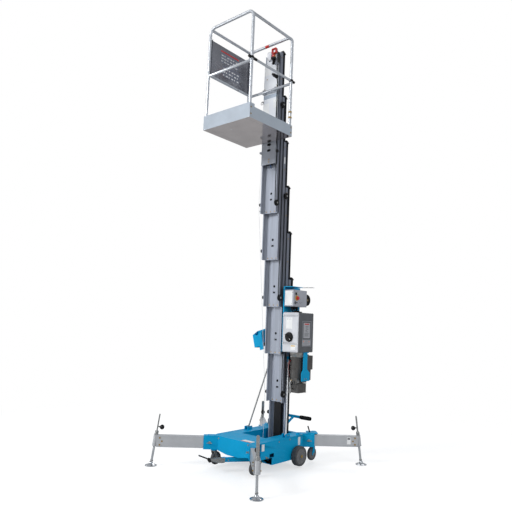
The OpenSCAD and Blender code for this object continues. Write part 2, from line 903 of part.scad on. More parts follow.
// Half a turn of cable under or over a sheave
module cable_turn(i) {
    translate([cable_x, sheave_y(i), sheave_z(i)]) rotate([0, 90, 0])
        rotate([0, 0, sheave_low(i) ? 270 : 90])
            rotate_extrude(angle = 180) translate([sheave_r, 0]) circle(d = cable_d);
}

module cable_run(i) {
    low = i < column_count ? (sheave_low(i) ? sheave_z(i) : sheave_z(i + 1)) : sheave_z(i);
    high = i == 0 ? cable_top_anchor
         : i == column_count ? cable_carriage_anchor
         : sheave_low(i) ? sheave_z(i + 1) : sheave_z(i);
    from = i == 0 ? sheave_z(1) : low;
    translate([cable_x, cable_run_y(i), from]) cylinder(d = cable_d, h = high - from);
}

module mast_cables() {
    color(black) {
        for (i = [0:column_count]) cable_run(i);
        for (i = [1:column_count]) cable_turn(i);
    }
    color(silver) bar([wire_x, wire_y, well_floor_z + 6], [wire_x, wire_y, wire_anchor - 10], wire_d);
}

// LIFT CYLINDER

cylinder_y = base_front + 30;
guard_w = 96;
guard_front = base_front + 11;

module lift_cylinder() {
    color(black) {
        difference() {
            union() {
                translate([0, cylinder_y, mast_foot_z])
                    cylinder(d = cylinder_d, h = cylinder_top - mast_foot_z);
                translate([0, cylinder_y, mast_foot_z]) cylinder(d = cylinder_d + 2, h = 30);
            }
            translate([0, cylinder_y, mast_foot_z + 40])
                cylinder(d = rod_d + 2 * fit, h = cylinder_top - mast_foot_z);
        }
        // Sheet guard round the barrel, open to the rear
        difference() {
            block([-guard_w / 2, guard_front, mast_foot_z],
                  [guard_w / 2, base_front + web_y, cylinder_top - 20]);
            block([-guard_w / 2 + 2, guard_front + 2, mast_foot_z - 1],
                  [guard_w / 2 - 2, base_front + web_y + 1, cylinder_top]);
        }
    }
}

module cylinder_rod() {
    rod_low = crosshead_z - 890;
    cheek_x = chain_w / 2 + 1;
    color(steel) {
        translate([0, cylinder_y, rod_low]) cylinder(d = rod_d, h = crosshead_z - 24 - rod_low);
        difference() {
            block([-cheek_x - 5, crosshead_y - 14, crosshead_z - 30],
                  [cheek_x + 5, crosshead_y + 15, crosshead_z + 12]);
            block([-cheek_x, crosshead_y - 15, crosshead_z - 24],
                  [cheek_x, crosshead_y + 16, crosshead_z + 13]);
        }
        x_bar(-cheek_x - 7, cheek_x + 7, crosshead_y, crosshead_z, 9);
        x_bar(-chain_w / 2, chain_w / 2, crosshead_y, crosshead_z,
              2 * crosshead_r - chain_t - 0.2);
    }
}

// BRACES AND HANDLE

brace_foot_y = 100;
brace_foot_z = deck_z + 20;
brace_foot_x = chassis_half - 39;
brace_top = [half_w + 12, base_front + 20, 1090];
brace_d = 16;

module mast_braces() {
    color(steel) both_sides() {
        foot = [brace_foot_x, brace_foot_y, brace_foot_z];
        run = (brace_top - foot) / norm(brace_top - foot);
        bar(foot + run * 13, brace_top, brace_d);
        difference() {
            translate([brace_foot_x - 10, brace_foot_y, brace_foot_z])
                rotate([0, 90, 0]) cylinder(d = 30, h = 20);
            x_bar(brace_foot_x - 11, brace_foot_x + 11, brace_foot_y, brace_foot_z, 10);
        }
        // Clip on the base column's side
        block([half_w, brace_top[1] - 14, brace_top[2] - 24],
              [half_w + 8, brace_top[1] + 14, brace_top[2] + 30]);
    }
    // Stand-off blocks between the base column and the equipment bracket
    color(blue) for (z = [1240, 1540, 1830])
        block([half_w, base_front + 4, z - 25], [bracket_x, base_front + 34, z + 25]);
}

handle_y = 480;
handle_z = 460;
handle_d = 30;

module push_handle() {
    arm_x = 70;
    rear_face = base_front + column_depth;
    color(blue) {
        x_bar(-165, 165, handle_y, handle_z, handle_d);
        both_sides() {
            bar([arm_x, rear_face + 4, handle_z - 70], [arm_x, handle_y, handle_z], handle_d - 4);
            block([arm_x - 22, rear_face, handle_z - 130], [arm_x + 24, rear_face + 6, handle_z - 20]);
        }
    }
    color(black) both_sides() difference() {
        x_bar(165, 300, handle_y, handle_z, handle_d + 10);
        x_bar(290, 301, handle_y, handle_z, handle_d - 10);
    }
}

// EQUIPMENT

module unit_bracket() {
    top = 1880;
    color(blue) {
        // Plate beside the mast, with a flange out to the right and one on top
        block([bracket_x, case_front, case_z], [unit_x, 420, top]);
        block([bracket_x, case_front, case_z + case_h + 4], [bracket_x + 14, case_front + 5, top]);
        block([bracket_x, case_front, top - 6], [bracket_x + 130, 300, top]);
        // Ear that carries the loading wheel
        difference() {
            block([bracket_x, 415, loading_z - 40], [unit_x, loading_y + 24, loading_z + 40]);
            x_bar(bracket_x - 1, unit_x + 1, loading_y, loading_z, 16 + 2 * fit);
        }
        // Lower end of the plate, which carries the tank
        block([bracket_x, 300, 1120], [unit_x, 400, case_z + 1]);
        // Hanger under the case, with its foot turned outwards
        translate([hanger_x, 0, 0]) rotate([90, 0, 90]) linear_extrude(hanger_t)
            polygon([
                [261, case_z], [333, case_z], [333, 1000], [381, 962], [381, 876],
                [233, 876], [233, 962], [261, 1000]]);
        block([hanger_x, 261, case_z - 6], [unit_x + case_w - 4, 333, case_z]);
    }
    color(steel) {
        x_bar(bracket_x - 4, unit_x + 18 + 44, loading_y, loading_z, 16);
        // Cable clip at the fixed end of the power cable
        difference() {
            block([cable_x - 9, cable_run_y(0) - 9, cable_top_anchor - 20],
                  [bracket_x - 0.3, cable_run_y(0) + 9, cable_top_anchor + 6]);
            translate([cable_x, cable_run_y(0), cable_top_anchor - 21])
                cylinder(d = cable_d + 0.6, h = 21.5);
        }
        bar([bracket_x + 120, 296, top - 3], [bracket_x + 126, 520, top + 14], 8);
    }
}

module loading_wheel() {
    color(tyre_grey) translate([unit_x + 18 + 20, loading_y, loading_z])
        wheel(loading_wheel_d, 40, 16, 34);
}

module stowage_holder() {
    tilt = 15;
    color(blue) {
        block([-225, base_front + 8, 1240], [-half_w, base_front + 30, 1300]);
        translate([-290, base_front + 19, 1297]) rotate([0, -tilt, 0]) difference() {
            union() {
                block([-66, -50, -90], [66, 50, 105]);
                // Tab below the front plate
                block([8, -50, -135], [66, -44, -89]);
            }
            block([-60, -44, -136], [60, 44, 106]);
            // Sloped upper edge, higher at the back, and a notch in the front plate
            translate([0, 50, 105]) rotate([27, 0, 0]) block([-80, -130, 0], [80, 10, 90]);
            translate([-4, -51, 54]) rotate([0, 45, 0]) block([-18, 0, -18], [18, 8, 18]);
        }
    }
}

module power_case() {
    lid_t = 16;
    case_r = 12;
    seams = [case_h * 0.215, case_h * 0.914];
    cx = unit_x + case_w / 2;
    cz = case_z + case_h / 2;
    color(case_light) difference() {
        translate([cx, case_front + lid_t, cz]) rotate([90, 0, 0])
            linear_extrude(lid_t) round_rect(case_w, case_h, case_r);
        for (s = seams)
            block([unit_x - 1, case_front - 1, case_z + s - 2],
                  [unit_x + case_w + 1, case_front + 3, case_z + s + 2]);
        y_bar(dial_x, case_front - 1, case_front + 12, dial_z, 14 + 2 * fit);
    }
    color(case_dark) difference() {
        translate([cx, case_front + case_depth, cz]) rotate([90, 0, 0])
            linear_extrude(case_depth - lid_t) round_rect(case_w, case_h, case_r);
        block([unit_x + case_w - 9, 195, case_z + 135], [unit_x + case_w + 1, 350, case_z + 330]);
    }
}

dial_x = unit_x + 90;
dial_z = case_z + 158;

module case_dial() {
    color(black) {
        y_bar(dial_x, case_front - 18, case_front - pass_gap, dial_z, dial_d);
        y_bar(dial_x, case_front - 1, case_front + 11, dial_z, 14);
        translate([dial_x, 0, dial_z]) rotate([0, 40, 0])
            block([-dial_d / 2 + 6, case_front - 30, -9], [dial_d / 2 - 6, case_front - 17, 9]);
    }
}

control_face = unit_x + control_w;
key_at = [control_front + 46, control_z + control_h - 42];
stop_at = [control_front + 60, control_z + 92];
toggle_at = [control_front + 36, control_z + 40];
stem_d = 12;
button_travel = 6;

module control_box() {
    color(case_light) difference() {
        translate([unit_x, control_front + control_depth / 2, control_z + control_h / 2])
            rotate([90, 0, 90]) linear_extrude(control_w) round_rect(control_depth, control_h, 8);
        for (p = [key_at, stop_at, toggle_at])
            x_bar(control_face - 24, control_face + 1, p[0], p[1], stem_d + 2 * fit);
        // Recess that leaves room round the toggle's root
        x_bar(control_face - 3, control_face + 1, toggle_at[0], toggle_at[1], 22);
    }
    color([0.95, 0.95, 0.95])
        block([unit_x + 14, control_front - 3, control_z + 14],
              [control_face - 14, control_front, control_z + control_h - 14]);
    color([0.95, 0.8, 0.1]) difference() {
        x_bar(control_face, control_face + 2, stop_at[0], stop_at[1], button_d + 16);
        x_bar(control_face - 1, control_face + 3, stop_at[0], stop_at[1], stem_d + 2 * fit);
    }
    // Cable glands under the box
    color(black) for (y = [200, 240, 285])
        translate([unit_x + 60, y, control_z - 30]) cylinder(d = 26, h = 30);
}

module ground_stop_button() {
    color("red") {
        x_bar(control_face - 14, control_face + 12, stop_at[0], stop_at[1], stem_d);
        x_bar(control_face + 2 + button_travel + 2, control_face + 26, stop_at[0], stop_at[1],
              button_d);
    }
}

module ground_key_switch() {
    color(black) {
        x_bar(control_face - 20, control_face + 4, key_at[0], key_at[1], stem_d);
        x_bar(control_face + pass_gap, control_face + 10, key_at[0], key_at[1], 28);
        block([control_face + 9, key_at[0] - 3, key_at[1] - 12],
              [control_face + 30, key_at[0] + 3, key_at[1] + 12]);
    }
}

module ground_toggle() {
    color(black) {
        x_bar(control_face - 8, control_face + 22, toggle_at[0], toggle_at[1], 6);
        y_bar(control_face - 8, toggle_at[0] - 3, toggle_at[0] + 3, toggle_at[1], 9);
        translate([control_face + 24, toggle_at[0], toggle_at[1]]) rotate([0, 90, 0]) sphere(d = 12);
    }
}

motor_at = [unit_x + 88, 262];

module power_unit() {
    bowl_top = case_z;
    color(case_light) translate([motor_at[0] + 6, motor_at[1] + 8, 0]) rotate_extrude()
        polygon([[0, bowl_top - 76], [34, bowl_top - 72], [64, bowl_top - 52],
                 [82, bowl_top - 22], [84, bowl_top], [0, bowl_top]]);
    color(case_dark) {
        // Motor under the bowl, with its pump block
        translate([motor_at[0], motor_at[1], 905]) cylinder(d = 116, h = bowl_top - 58 - 905);
        block([motor_at[0] - 52, motor_at[1] - 52, 845], [motor_at[0] + 52, motor_at[1] + 60, 906]);
        // Upper tank beside the motor, carried on the hanger
        translate([251, 411, 990]) linear_extrude(150) round_rect(118, 172, 26);
        block([206, 352, 876], [292, 472, 991]);
        block([unit_x, 340, 1125], [200, 390, 1139]);
        // Pump boss bolted to the hanger
        block([motor_at[0] + 50, motor_at[1] + 20, 860], [hanger_x, motor_at[1] + 70, 900]);
        // Lower tank
        translate([254, 305, 750]) linear_extrude(96) round_rect(104, 150, 14);
    }
    color(steel) {
        translate([motor_at[0] - 40, motor_at[1] - 44, 740]) cylinder(d = 20, h = 120);
    }
}

// CARRIAGE AND PLATFORM

module carriage() {
    slide_in = column_neck - column_wall;
    pocket = column_front(column_count);
    plate_rear = carriage_front + carriage_t;
    color(mast_grey) difference() {
        union() {
            block([-carriage_w / 2, carriage_front, carriage_z],
                  [carriage_w / 2, plate_rear, carriage_top]);
            // Narrow post that carries the controls
            block([-75, carriage_front, carriage_top - 1], [75, plate_rear, console_top]);
            // Runners that hook behind the front column's guide lips
            both_sides() {
                block([slide_in, plate_rear - 1, carriage_z + 4],
                      [column_neck, pocket + 35, carriage_top - 20]);
                block([slide_in, pocket + 29, carriage_z + 4],
                      [hook_half, pocket + 35, carriage_top - 20]);
            }
            // Anchors of the chains
            both_sides()
                block([chain_x(column_count) - 9, plate_rear - 1, carriage_z + 24],
                      [chain_x(column_count) + 9, front_run_y(column_count) + chain_t,
                       carriage_z + 44]);
            // Angles that carry the platform
            both_sides() block([78, platform_rear, floor_z], [carriage_w / 2, carriage_front + 1,
                                                             floor_z + side_toe_h]);
            // Clip at the moving end of the power cable
            block([carriage_w / 2 - 2, carriage_front, cable_carriage_anchor - 14],
                  [cable_x + 9, carriage_front + carriage_t, cable_carriage_anchor + 14]);
            block([cable_x - 9, cable_run_y(column_count) - 9, cable_carriage_anchor - 14],
                  [cable_x + 9, carriage_front + 1, cable_carriage_anchor + 14]);
            // Clip of the sequence wire
            block([wire_x - 8, carriage_front, wire_anchor - 20],
                  [-carriage_w / 2 + 2, carriage_front + carriage_t, wire_anchor]);
            block([wire_x - 8, carriage_front, wire_anchor - 20],
                  [wire_x + 8, wire_y + 8, wire_anchor]);
        }
        translate([cable_x, cable_run_y(column_count), cable_carriage_anchor - 15])
            cylinder(d = cable_d + 0.6, h = 15.5);
        translate([wire_x, wire_y, wire_anchor - 21]) cylinder(d = wire_d + 0.6, h = 11.5);
        // Slots and holes in the plate
        y_bar(0, carriage_front - 1, plate_rear + 1, carriage_z + 106, 26);
        for (h = [156, 186, 222])
            block([-16, carriage_front - 1, carriage_z + h], [16, plate_rear + 1, carriage_z + h + 12]);
    }
}

module platform_floor() {
    lower = floor_z;
    toe_joint = 70;
    color(floor_grey) {
        difference() {
            union() {
                block([-half_p, platform_front, lower], [half_p, platform_rear, lower + sheet_t]);
                block([-half_p, platform_front, lower],
                      [half_p, platform_front + sheet_t, lower + toe_h]);
                block([-half_p, platform_rear - sheet_t, lower],
                      [half_p, platform_rear, lower + side_toe_h]);
                both_sides() {
                    block([half_p - sheet_t, platform_front, lower],
                          [half_p, platform_rear, lower + side_toe_h]);
                    block([half_p - sheet_t, platform_front, lower],
                          [half_p, platform_front + toe_joint, lower + toe_h]);
                }
            }
            translate([-60, platform_front + 150, lower - 1]) cylinder(d = 14, h = sheet_t + 2);
        }
        // Ribs under the tread, inside the pan
        for (x = [-200, 0, 200])
            block([x - 15, platform_front + sheet_t, lower + sheet_t],
                  [x + 15, platform_rear - sheet_t, lower + sheet_t + 20]);
    }
}

module rail_corner(x_side, y) {
    translate([x_side * (post_x - rail_bend), y, top_rail_z - rail_bend])
        rotate([90, 0, 0]) rotate([0, 0, x_side > 0 ? 0 : 90])
            rotate_extrude(angle = 90) translate([rail_bend, 0]) circle(d = rail_d);
}

module rail_hoop(y) {
    post_low = floor_z + sheet_t;
    for (s = [-1, 1]) {
        translate([s * post_x, y, post_low])
            cylinder(d = rail_d, h = top_rail_z - rail_bend - post_low);
        rail_corner(s, y);
    }
    x_bar(-post_x + rail_bend, post_x - rail_bend, y, top_rail_z, rail_d);
}

module guard_rails() {
    // The side rails meet the hoops half way round their bends
    drop = rail_bend * (1 - cos(45));
    color(silver) {
        rail_hoop(post_front);
        rail_hoop(post_rear);
        for (s = [-1, 1])
            y_bar(s * (post_x - drop), post_front, post_rear, top_rail_z - drop, rail_d - 2);
        x_bar(-post_x, post_x, post_front, mid_rail_z - 15, rail_d - 4);
        x_bar(-post_x, post_x, post_rear, mid_rail_z - 22, rail_d - 4);
        y_bar(-post_x, post_front, post_rear, mid_rail_z, rail_d - 4);
        // Straps that fix the rear rail to the carriage
        for (x = [-85, 85])
            block([x - 14, post_rear, mid_rail_z - 46], [x + 14, carriage_front, mid_rail_z + 6]);
        // Collars low on the rear right post
        for (h = [205, 265])
            translate([post_x, post_rear, floor_z + h]) cylinder(d = rail_d + 8, h = 16);
    }
}

entry_rail_d = 26;
entry_z = mid_rail_z + 10;
entry_front_out = 46;
entry_rear_out = 57;

module entry_rail() {
    ring_d = rail_d + 14;
    ring_h = 20;
    color(silver) difference() {
        union() {
            y_bar(post_x, post_front - entry_front_out, post_rear + entry_rear_out, entry_z,
                  entry_rail_d);
            for (y = [post_front, post_rear])
                translate([post_x, y, entry_z - ring_h / 2]) cylinder(d = ring_d, h = ring_h);
        }
        for (y = [post_front, post_rear])
            translate([post_x, y, entry_z - ring_h])
                cylinder(d = rail_d + 0.6, h = 2 * ring_h);
    }
}

module side_panel() {
    panel_top = mid_rail_z + 410;
    face = post_x - rail_d / 2;
    color(silver) {
        block([-post_x, post_front + rail_d / 2, mid_rail_z + rail_d / 2 - 2],
              [-post_x + 2, post_rear - rail_d / 2, panel_top]);
        // Folded upright edges
        for (y = [post_front + rail_d / 2, post_rear - rail_d / 2 - 2])
            block([-post_x, y, mid_rail_z + rail_d / 2 - 2], [-face + 6, y + 2, panel_top]);
    }
}

console_x = 84;
console_z = console_top - 185;
console_front = carriage_front - 54;
platform_stop_x = console_x - 12;
platform_stop_z = console_z + 75;
platform_stop_d = 36;
lever_y = console_front - 22;
lever_z = console_z + 28;
lever_bore_d = 14.6;

module platform_controls() {
    color(case_light) difference() {
        union() {
            block([console_x - 32, console_front, console_z],
                  [console_x + 32, carriage_front, console_z + 130]);
            // Chin that carries the lever
            block([console_x - 22, console_front - 44, lever_z],
                  [console_x + 22, console_front + 1, lever_z + 24]);
        }
        y_bar(platform_stop_x, console_front - 1, console_front + 24, platform_stop_z,
              stem_d + 2 * fit);
        translate([console_x, lever_y, lever_z - 1]) cylinder(d = lever_bore_d, h = 20);
        translate([console_x, lever_y, lever_z - 1]) cylinder(d = 26, h = 4);
    }
    // Red guard hoop above the stop button
    color("red") difference() {
        block([console_x - 28, console_front - 30, console_z + 100],
              [console_x + 34, console_front, console_z + 160]);
        block([console_x - 20, console_front - 31, console_z + 108],
              [console_x + 26, console_front + 1, console_z + 152]);
    }
    // Cable plug on the carriage below
    color(black) {
        y_bar(console_x, carriage_front - 60, carriage_front, console_z - 150, 40);
        y_bar(console_x, carriage_front - 84, carriage_front - 60, console_z - 150, 28);
    }
    color(case_light)
        block([-45, carriage_front - 24, console_z + 70], [0, carriage_front, console_z + 171]);
}

module platform_stop_button() {
    color("red") {
        y_bar(platform_stop_x, console_front - 12, console_front + 12, platform_stop_z, stem_d);
        y_bar(platform_stop_x, console_front - 30, console_front - 10, platform_stop_z,
              platform_stop_d);
    }
}

module platform_lever() {
    color(black) {
        translate([console_x, lever_y, lever_z - 20]) cylinder(d = 8, h = 30);
        y_bar(console_x, lever_y - 3.5, lever_y + 3.5, lever_z + 10, 12);
        translate([console_x, lever_y, lever_z - 60]) cylinder(d = 26, h = 46);
        translate([console_x, lever_y, lever_z - 14]) cylinder(d1 = 26, d2 = 16, h = 10);
    }
}

chassis();
chassis_fittings();
mast_base_column();
mast_braces();
push_handle();
unit_bracket();
stowage_holder();
power_case();
case_dial();
control_box();
ground_stop_button();
ground_key_switch();
ground_toggle();
power_unit();
loading_wheel();
lift_cylinder();
cylinder_rod();
lift_chains();
mast_cables();
for (i = [1:column_count]) {
    mast_column(i);
    cable_sheave(i);
}
carriage();
platform_floor();
guard_rails();
entry_rail();
side_panel();
platform_controls();
platform_stop_button();
platform_lever();
for (c = corners) {
    outrigger_beam(c);
    jack_leg(c);
    jack_crank(c);
}
for (s = [["left", -1], ["right", 1]]) {
    front_caster_fork(s[1]);
    front_caster_wheel(s[1]);
    rear_caster_fork(s[1]);
    rear_caster_wheel(s[1]);
    rear_wheel(s[1]);
}
brake_pedal();
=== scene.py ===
import math

import bmesh
import bpy
from mathutils import Matrix, Vector


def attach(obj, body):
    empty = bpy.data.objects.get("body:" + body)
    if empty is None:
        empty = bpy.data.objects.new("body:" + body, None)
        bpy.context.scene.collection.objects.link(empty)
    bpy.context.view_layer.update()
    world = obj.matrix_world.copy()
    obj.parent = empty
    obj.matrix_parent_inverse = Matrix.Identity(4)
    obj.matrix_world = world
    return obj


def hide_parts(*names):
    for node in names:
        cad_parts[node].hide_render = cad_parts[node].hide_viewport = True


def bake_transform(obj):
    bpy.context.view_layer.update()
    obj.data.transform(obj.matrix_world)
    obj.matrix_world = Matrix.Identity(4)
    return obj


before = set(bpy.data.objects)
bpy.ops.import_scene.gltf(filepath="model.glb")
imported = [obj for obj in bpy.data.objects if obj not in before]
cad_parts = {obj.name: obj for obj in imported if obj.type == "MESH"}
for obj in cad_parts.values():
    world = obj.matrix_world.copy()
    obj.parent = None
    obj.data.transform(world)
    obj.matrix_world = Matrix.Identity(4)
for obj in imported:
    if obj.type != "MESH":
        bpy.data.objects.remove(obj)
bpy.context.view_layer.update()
MM = 0.001
X, Y, Z = Vector((1, 0, 0)), Vector((0, 1, 0)), Vector((0, 0, 1))

# ---- sizes of the machine, in millimetres as in the part's source ----
COLUMN_LENGTH = 1857.0
COLUMN_PITCH = 56.0
BASE_FRONT, BASE_FOOT = 264.0, 111.0
STAGE = 516.0
COLUMNS, STAGES = range(6), range(1, 6)
CARRIAGE_Z = 3237.0
FOOT = (708.0, 865.0)
CORNERS = {"front_left": (-1, -1), "front_right": (1, -1), "rear_left": (-1, 1), "rear_right": (1, 1)}
SIDES = (("left", -1), ("right", 1))
LEAN = math.radians(7)
FLOOR_Z = 3485.0
POST_X, POST_FRONT, POST_REAR = 311.0, -723.0, -71.0
MID_RAIL, TOP_RAIL = 4110.0, 4637.0
CABLE_X = 128
CROSSHEAD = (289.0, 1308.0)
REAR_AXLE = (235, 118)
REAR_WHEEL, LOADING_WHEEL = (200, 62, 60, 10.1), (130, 40, 34, 8.1)  # diameter, width, hub, bore
FRONT_CASTER, REAR_CASTER = (130, 32, 36, 6.1), (140, 32, 36, 6.1)
HANDLE = (480, 460)
MOTOR, BOWL_CENTRE = (243.0, 262.0), (249, 270)
DIAL = (245, 123.4, 1338)
CONSOLE = (84.0, -91.0, 4395.0)
POST_SCREWS = (3697, 3757)
PEDAL_PIVOT, PEDAL_TURN = Vector((-30, -451, 120)), math.radians(-125)
STOP_BUTTON, KEY_SWITCH, TOGGLE = (282.0, 191, 1756), (282.0, 177, 1803), (282.0, 167, 1704)
KEEP_SHARP = 34
CAMERA_LENS, CAMERA_PLACE = 37.5231, (3.739066, -4.460720, 1.453912)
CAMERA_YAW_PITCH_ROLL = (41.16253, 7.32869, 2.27109)
SURROUND, SURROUND_TINT = 0.50, (0.93, 0.96, 1.0, 1)
FLOOR_GREY, FLOOR_GLOW, FLOOR_FADE = 0.62, 0.58, (1.5, 4.5)


def column_front(i):
    return BASE_FRONT - COLUMN_PITCH * i


def column_z(i):
    return BASE_FOOT + STAGE * i


def column_top(i):
    return column_z(i) + COLUMN_LENGTH


def stage(i):
    """The body of a stage: 0 is the base column, 6 the carriage."""
    return "base" if i == 0 else ("platform" if i == 6 else "mast_column_%d" % i)


# ---- nodes and finishes ----
def node(tree, kind, inputs=(), **values):
    """A new node with its fields set and its inputs filled, or linked where a node or socket is given."""
    n = tree.nodes.new(kind)
    for key, value in values.items():
        setattr(n, key, value)
    for key, value in dict(inputs).items():
        for v in value if isinstance(value, list) else [value]:
            v = v.outputs[0] if isinstance(v, bpy.types.Node) else v
            if isinstance(v, bpy.types.NodeSocket):
                tree.links.new(v, n.inputs[key])
            else:
                n.inputs[key].default_value = v
    return n


def product(tree, a, b):
    return node(tree, "ShaderNodeMath", {0: a, 1: b}, operation="MULTIPLY")


def empty_tree(owner):
    owner.use_nodes = True
    owner.node_tree.nodes.clear()
    return owner.node_tree


def linear(rgb):
    return [c / 12.92 if c <= 0.04045 else ((c + 0.055) / 1.055) ** 2.4 for c in (v / 255.0 for v in rgb)]


GRAIN_SPAN, SCUFF_SPAN = (0.3, 0.7), (0.60, 0.72)
SCUFF_GRAIN, GLOSS_GRAIN = 4.3, 2.1
RELIEF_DEPTH, LACQUER_GLOSS, LEAST_ROUGHNESS = 0.0006, 0.12, 0.03


def finish(name, rgb, rough=0.5, metal=0.0, spread=0.10, grain=14.0, stretch=(1, 1, 1), bump=0.05,
           bump_scale=420.0, coat=0.0, scuff=0.15, scuff_rgb=None, rough_spread=0.12, specular=0.5):
    """A finish with uneven colour, scuffs, fine relief and uneven gloss, all from Object coordinates."""
    m = bpy.data.materials.new(name)
    nt = empty_tree(m)
    place = node(nt, "ShaderNodeTexCoord").outputs["Object"]
    drawn = node(nt, "ShaderNodeMapping", {"Vector": place, "Scale": stretch})

    def noise(scale, detail, fine, vector=drawn):
        return node(nt, "ShaderNodeTexNoise", {"Scale": scale, "Detail": detail, "Roughness": fine,
                                               "Vector": vector}).outputs["Fac"]

    def remap(value, *limits):
        return node(nt, "ShaderNodeMapRange", {"Value": value,
                                               **dict(zip(("From Min", "From Max", "To Min", "To Max"), limits))})

    def blend(fac, a, b):
        return node(nt, "ShaderNodeMix", {"Factor": fac, 6: a, 7: b}, data_type="RGBA").outputs[2]

    base = linear(rgb)
    dark = [c * (1 - spread) for c in base]
    pale = [min(1.0, c * (1 + spread) + 0.001) for c in base]
    worn = linear(scuff_rgb) if scuff_rgb else [c + (0.55 - c) * 0.5 for c in base]
    colour = blend(remap(noise(grain, 4, 0.55), *GRAIN_SPAN, 0, 1), (*dark, 1), (*pale, 1))
    patches = remap(noise(grain * SCUFF_GRAIN, 8, 0.7, place), *SCUFF_SPAN, 0, scuff)
    gloss = remap(noise(grain * GLOSS_GRAIN, 3, 0.5), *GRAIN_SPAN, max(LEAST_ROUGHNESS, rough - rough_spread),
                  rough + rough_spread)
    relief = node(nt, "ShaderNodeBump", {"Strength": min(1.0, bump * 4), "Distance": RELIEF_DEPTH,
                                         "Height": noise(bump_scale, 3, 0.6)})
    shader = node(nt, "ShaderNodeBsdfPrincipled", {
        "Base Color": blend(patches, colour, (*worn, 1)), "Roughness": gloss, "Metallic": metal, "Normal": relief,
        "Specular IOR Level": specular, "Coat Weight": coat, "Coat Roughness": LACQUER_GLOSS})
    node(nt, "ShaderNodeOutputMaterial", {0: shader})
    return m


EXTRUDED = (1.0, 1.0, 0.035)
BLUE = finish("blue enamel", (0, 163, 215), 0.40, spread=0.05, grain=5, bump=0.02, bump_scale=260, scuff=0.05,
              scuff_rgb=(30, 150, 195), specular=0.12)
# painted shade: a near-black finish that stands for the unlit depth of an opening
PAINTED_HOLE_SHADE = finish("unlit depth of an opening", (5, 5, 6), 0.9, spread=0.2, grain=20, bump=0.02, scuff=0.05,
              scuff_rgb=(10, 10, 10), specular=0.05)
# painted shade: a darker copy of the column anodising for the side faces
FLANK_PAINTED_SHADE = finish("column anodising with painted flank shade", (132, 137, 150), 0.50, 0.40, spread=0.10, grain=26, stretch=EXTRUDED,
               bump=0.04, bump_scale=900, scuff=0.08, scuff_rgb=(150, 155, 165))
CARRIAGE = finish("carriage plate", (158, 163, 172), 0.42, 0.45, spread=0.06, grain=8, stretch=(1, 1, 0.3), bump=0.03,
                  bump_scale=800, scuff=0.08, scuff_rgb=(180, 182, 186))
# partly painted shade: the recessed necks between columns are dark from black hardware and from shade painted into the
# recess
NECK_BLACK_AND_SHADE = finish("dark column neck with painted shade", (40, 42, 50), 0.5, 0.3, spread=0.2, grain=20, stretch=EXTRUDED, bump=0.05, scuff=0.1)
MAST = finish("anodised column", (162, 168, 180), 0.46, 0.45, spread=0.16, grain=26, stretch=EXTRUDED, bump=0.05,
              bump_scale=900, scuff=0.10, scuff_rgb=(200, 205, 214))
BRIGHT = finish("mill aluminium", (200, 202, 205), 0.36, 0.5, spread=0.05, grain=6, bump=0.03, bump_scale=700,
                scuff=0.06, scuff_rgb=(160, 162, 165), rough_spread=0.06)
WIRE = finish("white coated wire", (236, 238, 240), 0.45, spread=0.04, grain=30, bump=0.02, scuff=0.1)
ZINC = finish("zinc plating", (160, 161, 160), 0.34, 0.75, spread=0.22, grain=60, bump=0.06, scuff=0.3,
              scuff_rgb=(120, 116, 104))
CHROME = finish("bright chrome", (205, 208, 212), 0.16, 0.95, spread=0.10, grain=30, bump=0.02, scuff=0.12,
                rough_spread=0.06)
BRASS = finish("yellow passivated screw", (176, 146, 84), 0.35, 0.8, spread=0.25, grain=90, bump=0.05, scuff=0.3,
               scuff_rgb=(120, 96, 52))
RAIL = finish("rail aluminium", (204, 208, 214), 0.30, 0.6, spread=0.05, grain=8, bump=0.02, bump_scale=650,
              scuff=0.06, scuff_rgb=(165, 168, 172), rough_spread=0.06)
PAN = finish("platform powder coat", (178, 188, 199), 0.46, 0.10, spread=0.05, grain=7, bump=0.10, bump_scale=520,
             scuff=0.15, scuff_rgb=(160, 166, 172))
PANEL = finish("satin panel sheet", (142, 143, 150), 0.26, 0.75, spread=0.14, grain=5, stretch=(1, 0.3, 1), bump=0.04,
               bump_scale=700, scuff=0.12, scuff_rgb=(160, 162, 168))
PAN_UNDER = finish("pan underside", (196, 189, 188), 0.11, 0.92, spread=0.06, grain=6, bump=0.006, bump_scale=500,
                   scuff=0.08)
CASE = finish("pale case paint", (215, 217, 222), 0.42, 0.05, spread=0.07, grain=9, bump=0.09, bump_scale=600,
              scuff=0.12, scuff_rgb=(150, 152, 156))
CASE_DARK = finish("dark case paint", (92, 94, 98), 0.45, 0.05, spread=0.10, grain=9, bump=0.10, bump_scale=600,
                   scuff=0.14, scuff_rgb=(120, 122, 126))
BOX = finish("grey box enamel", (176, 179, 188), 0.42, 0.08, spread=0.08, grain=10, bump=0.07, bump_scale=600,
             scuff=0.12, scuff_rgb=(125, 128, 136))
UNIT = finish("charcoal casting", (82, 80, 78), 0.55, 0.15, spread=0.18, grain=16, bump=0.20, bump_scale=380,
              scuff=0.2, scuff_rgb=(110, 108, 104))
BOWL = finish("drawn steel bowl", (168, 165, 160), 0.40, 0.55, spread=0.12, grain=12, bump=0.05, scuff=0.2)
PLASTIC = finish("black moulding", (17, 17, 19), 0.50, specular=0.25, spread=0.25, grain=30, bump=0.08,
                 bump_scale=500, scuff=0.2, scuff_rgb=(58, 58, 60))
GLOSS_BLACK = finish("black phenolic", (12, 12, 15), 0.22, spread=0.2, grain=30, bump=0.02, scuff=0.08, coat=0.2,
                     specular=0.3, scuff_rgb=(44, 44, 46), rough_spread=0.06)
RUBBER = finish("black rubber", (15, 15, 16), 0.70, specular=0.2, spread=0.3, grain=40, bump=0.12, bump_scale=300,
                scuff=0.25, scuff_rgb=(62, 62, 62))
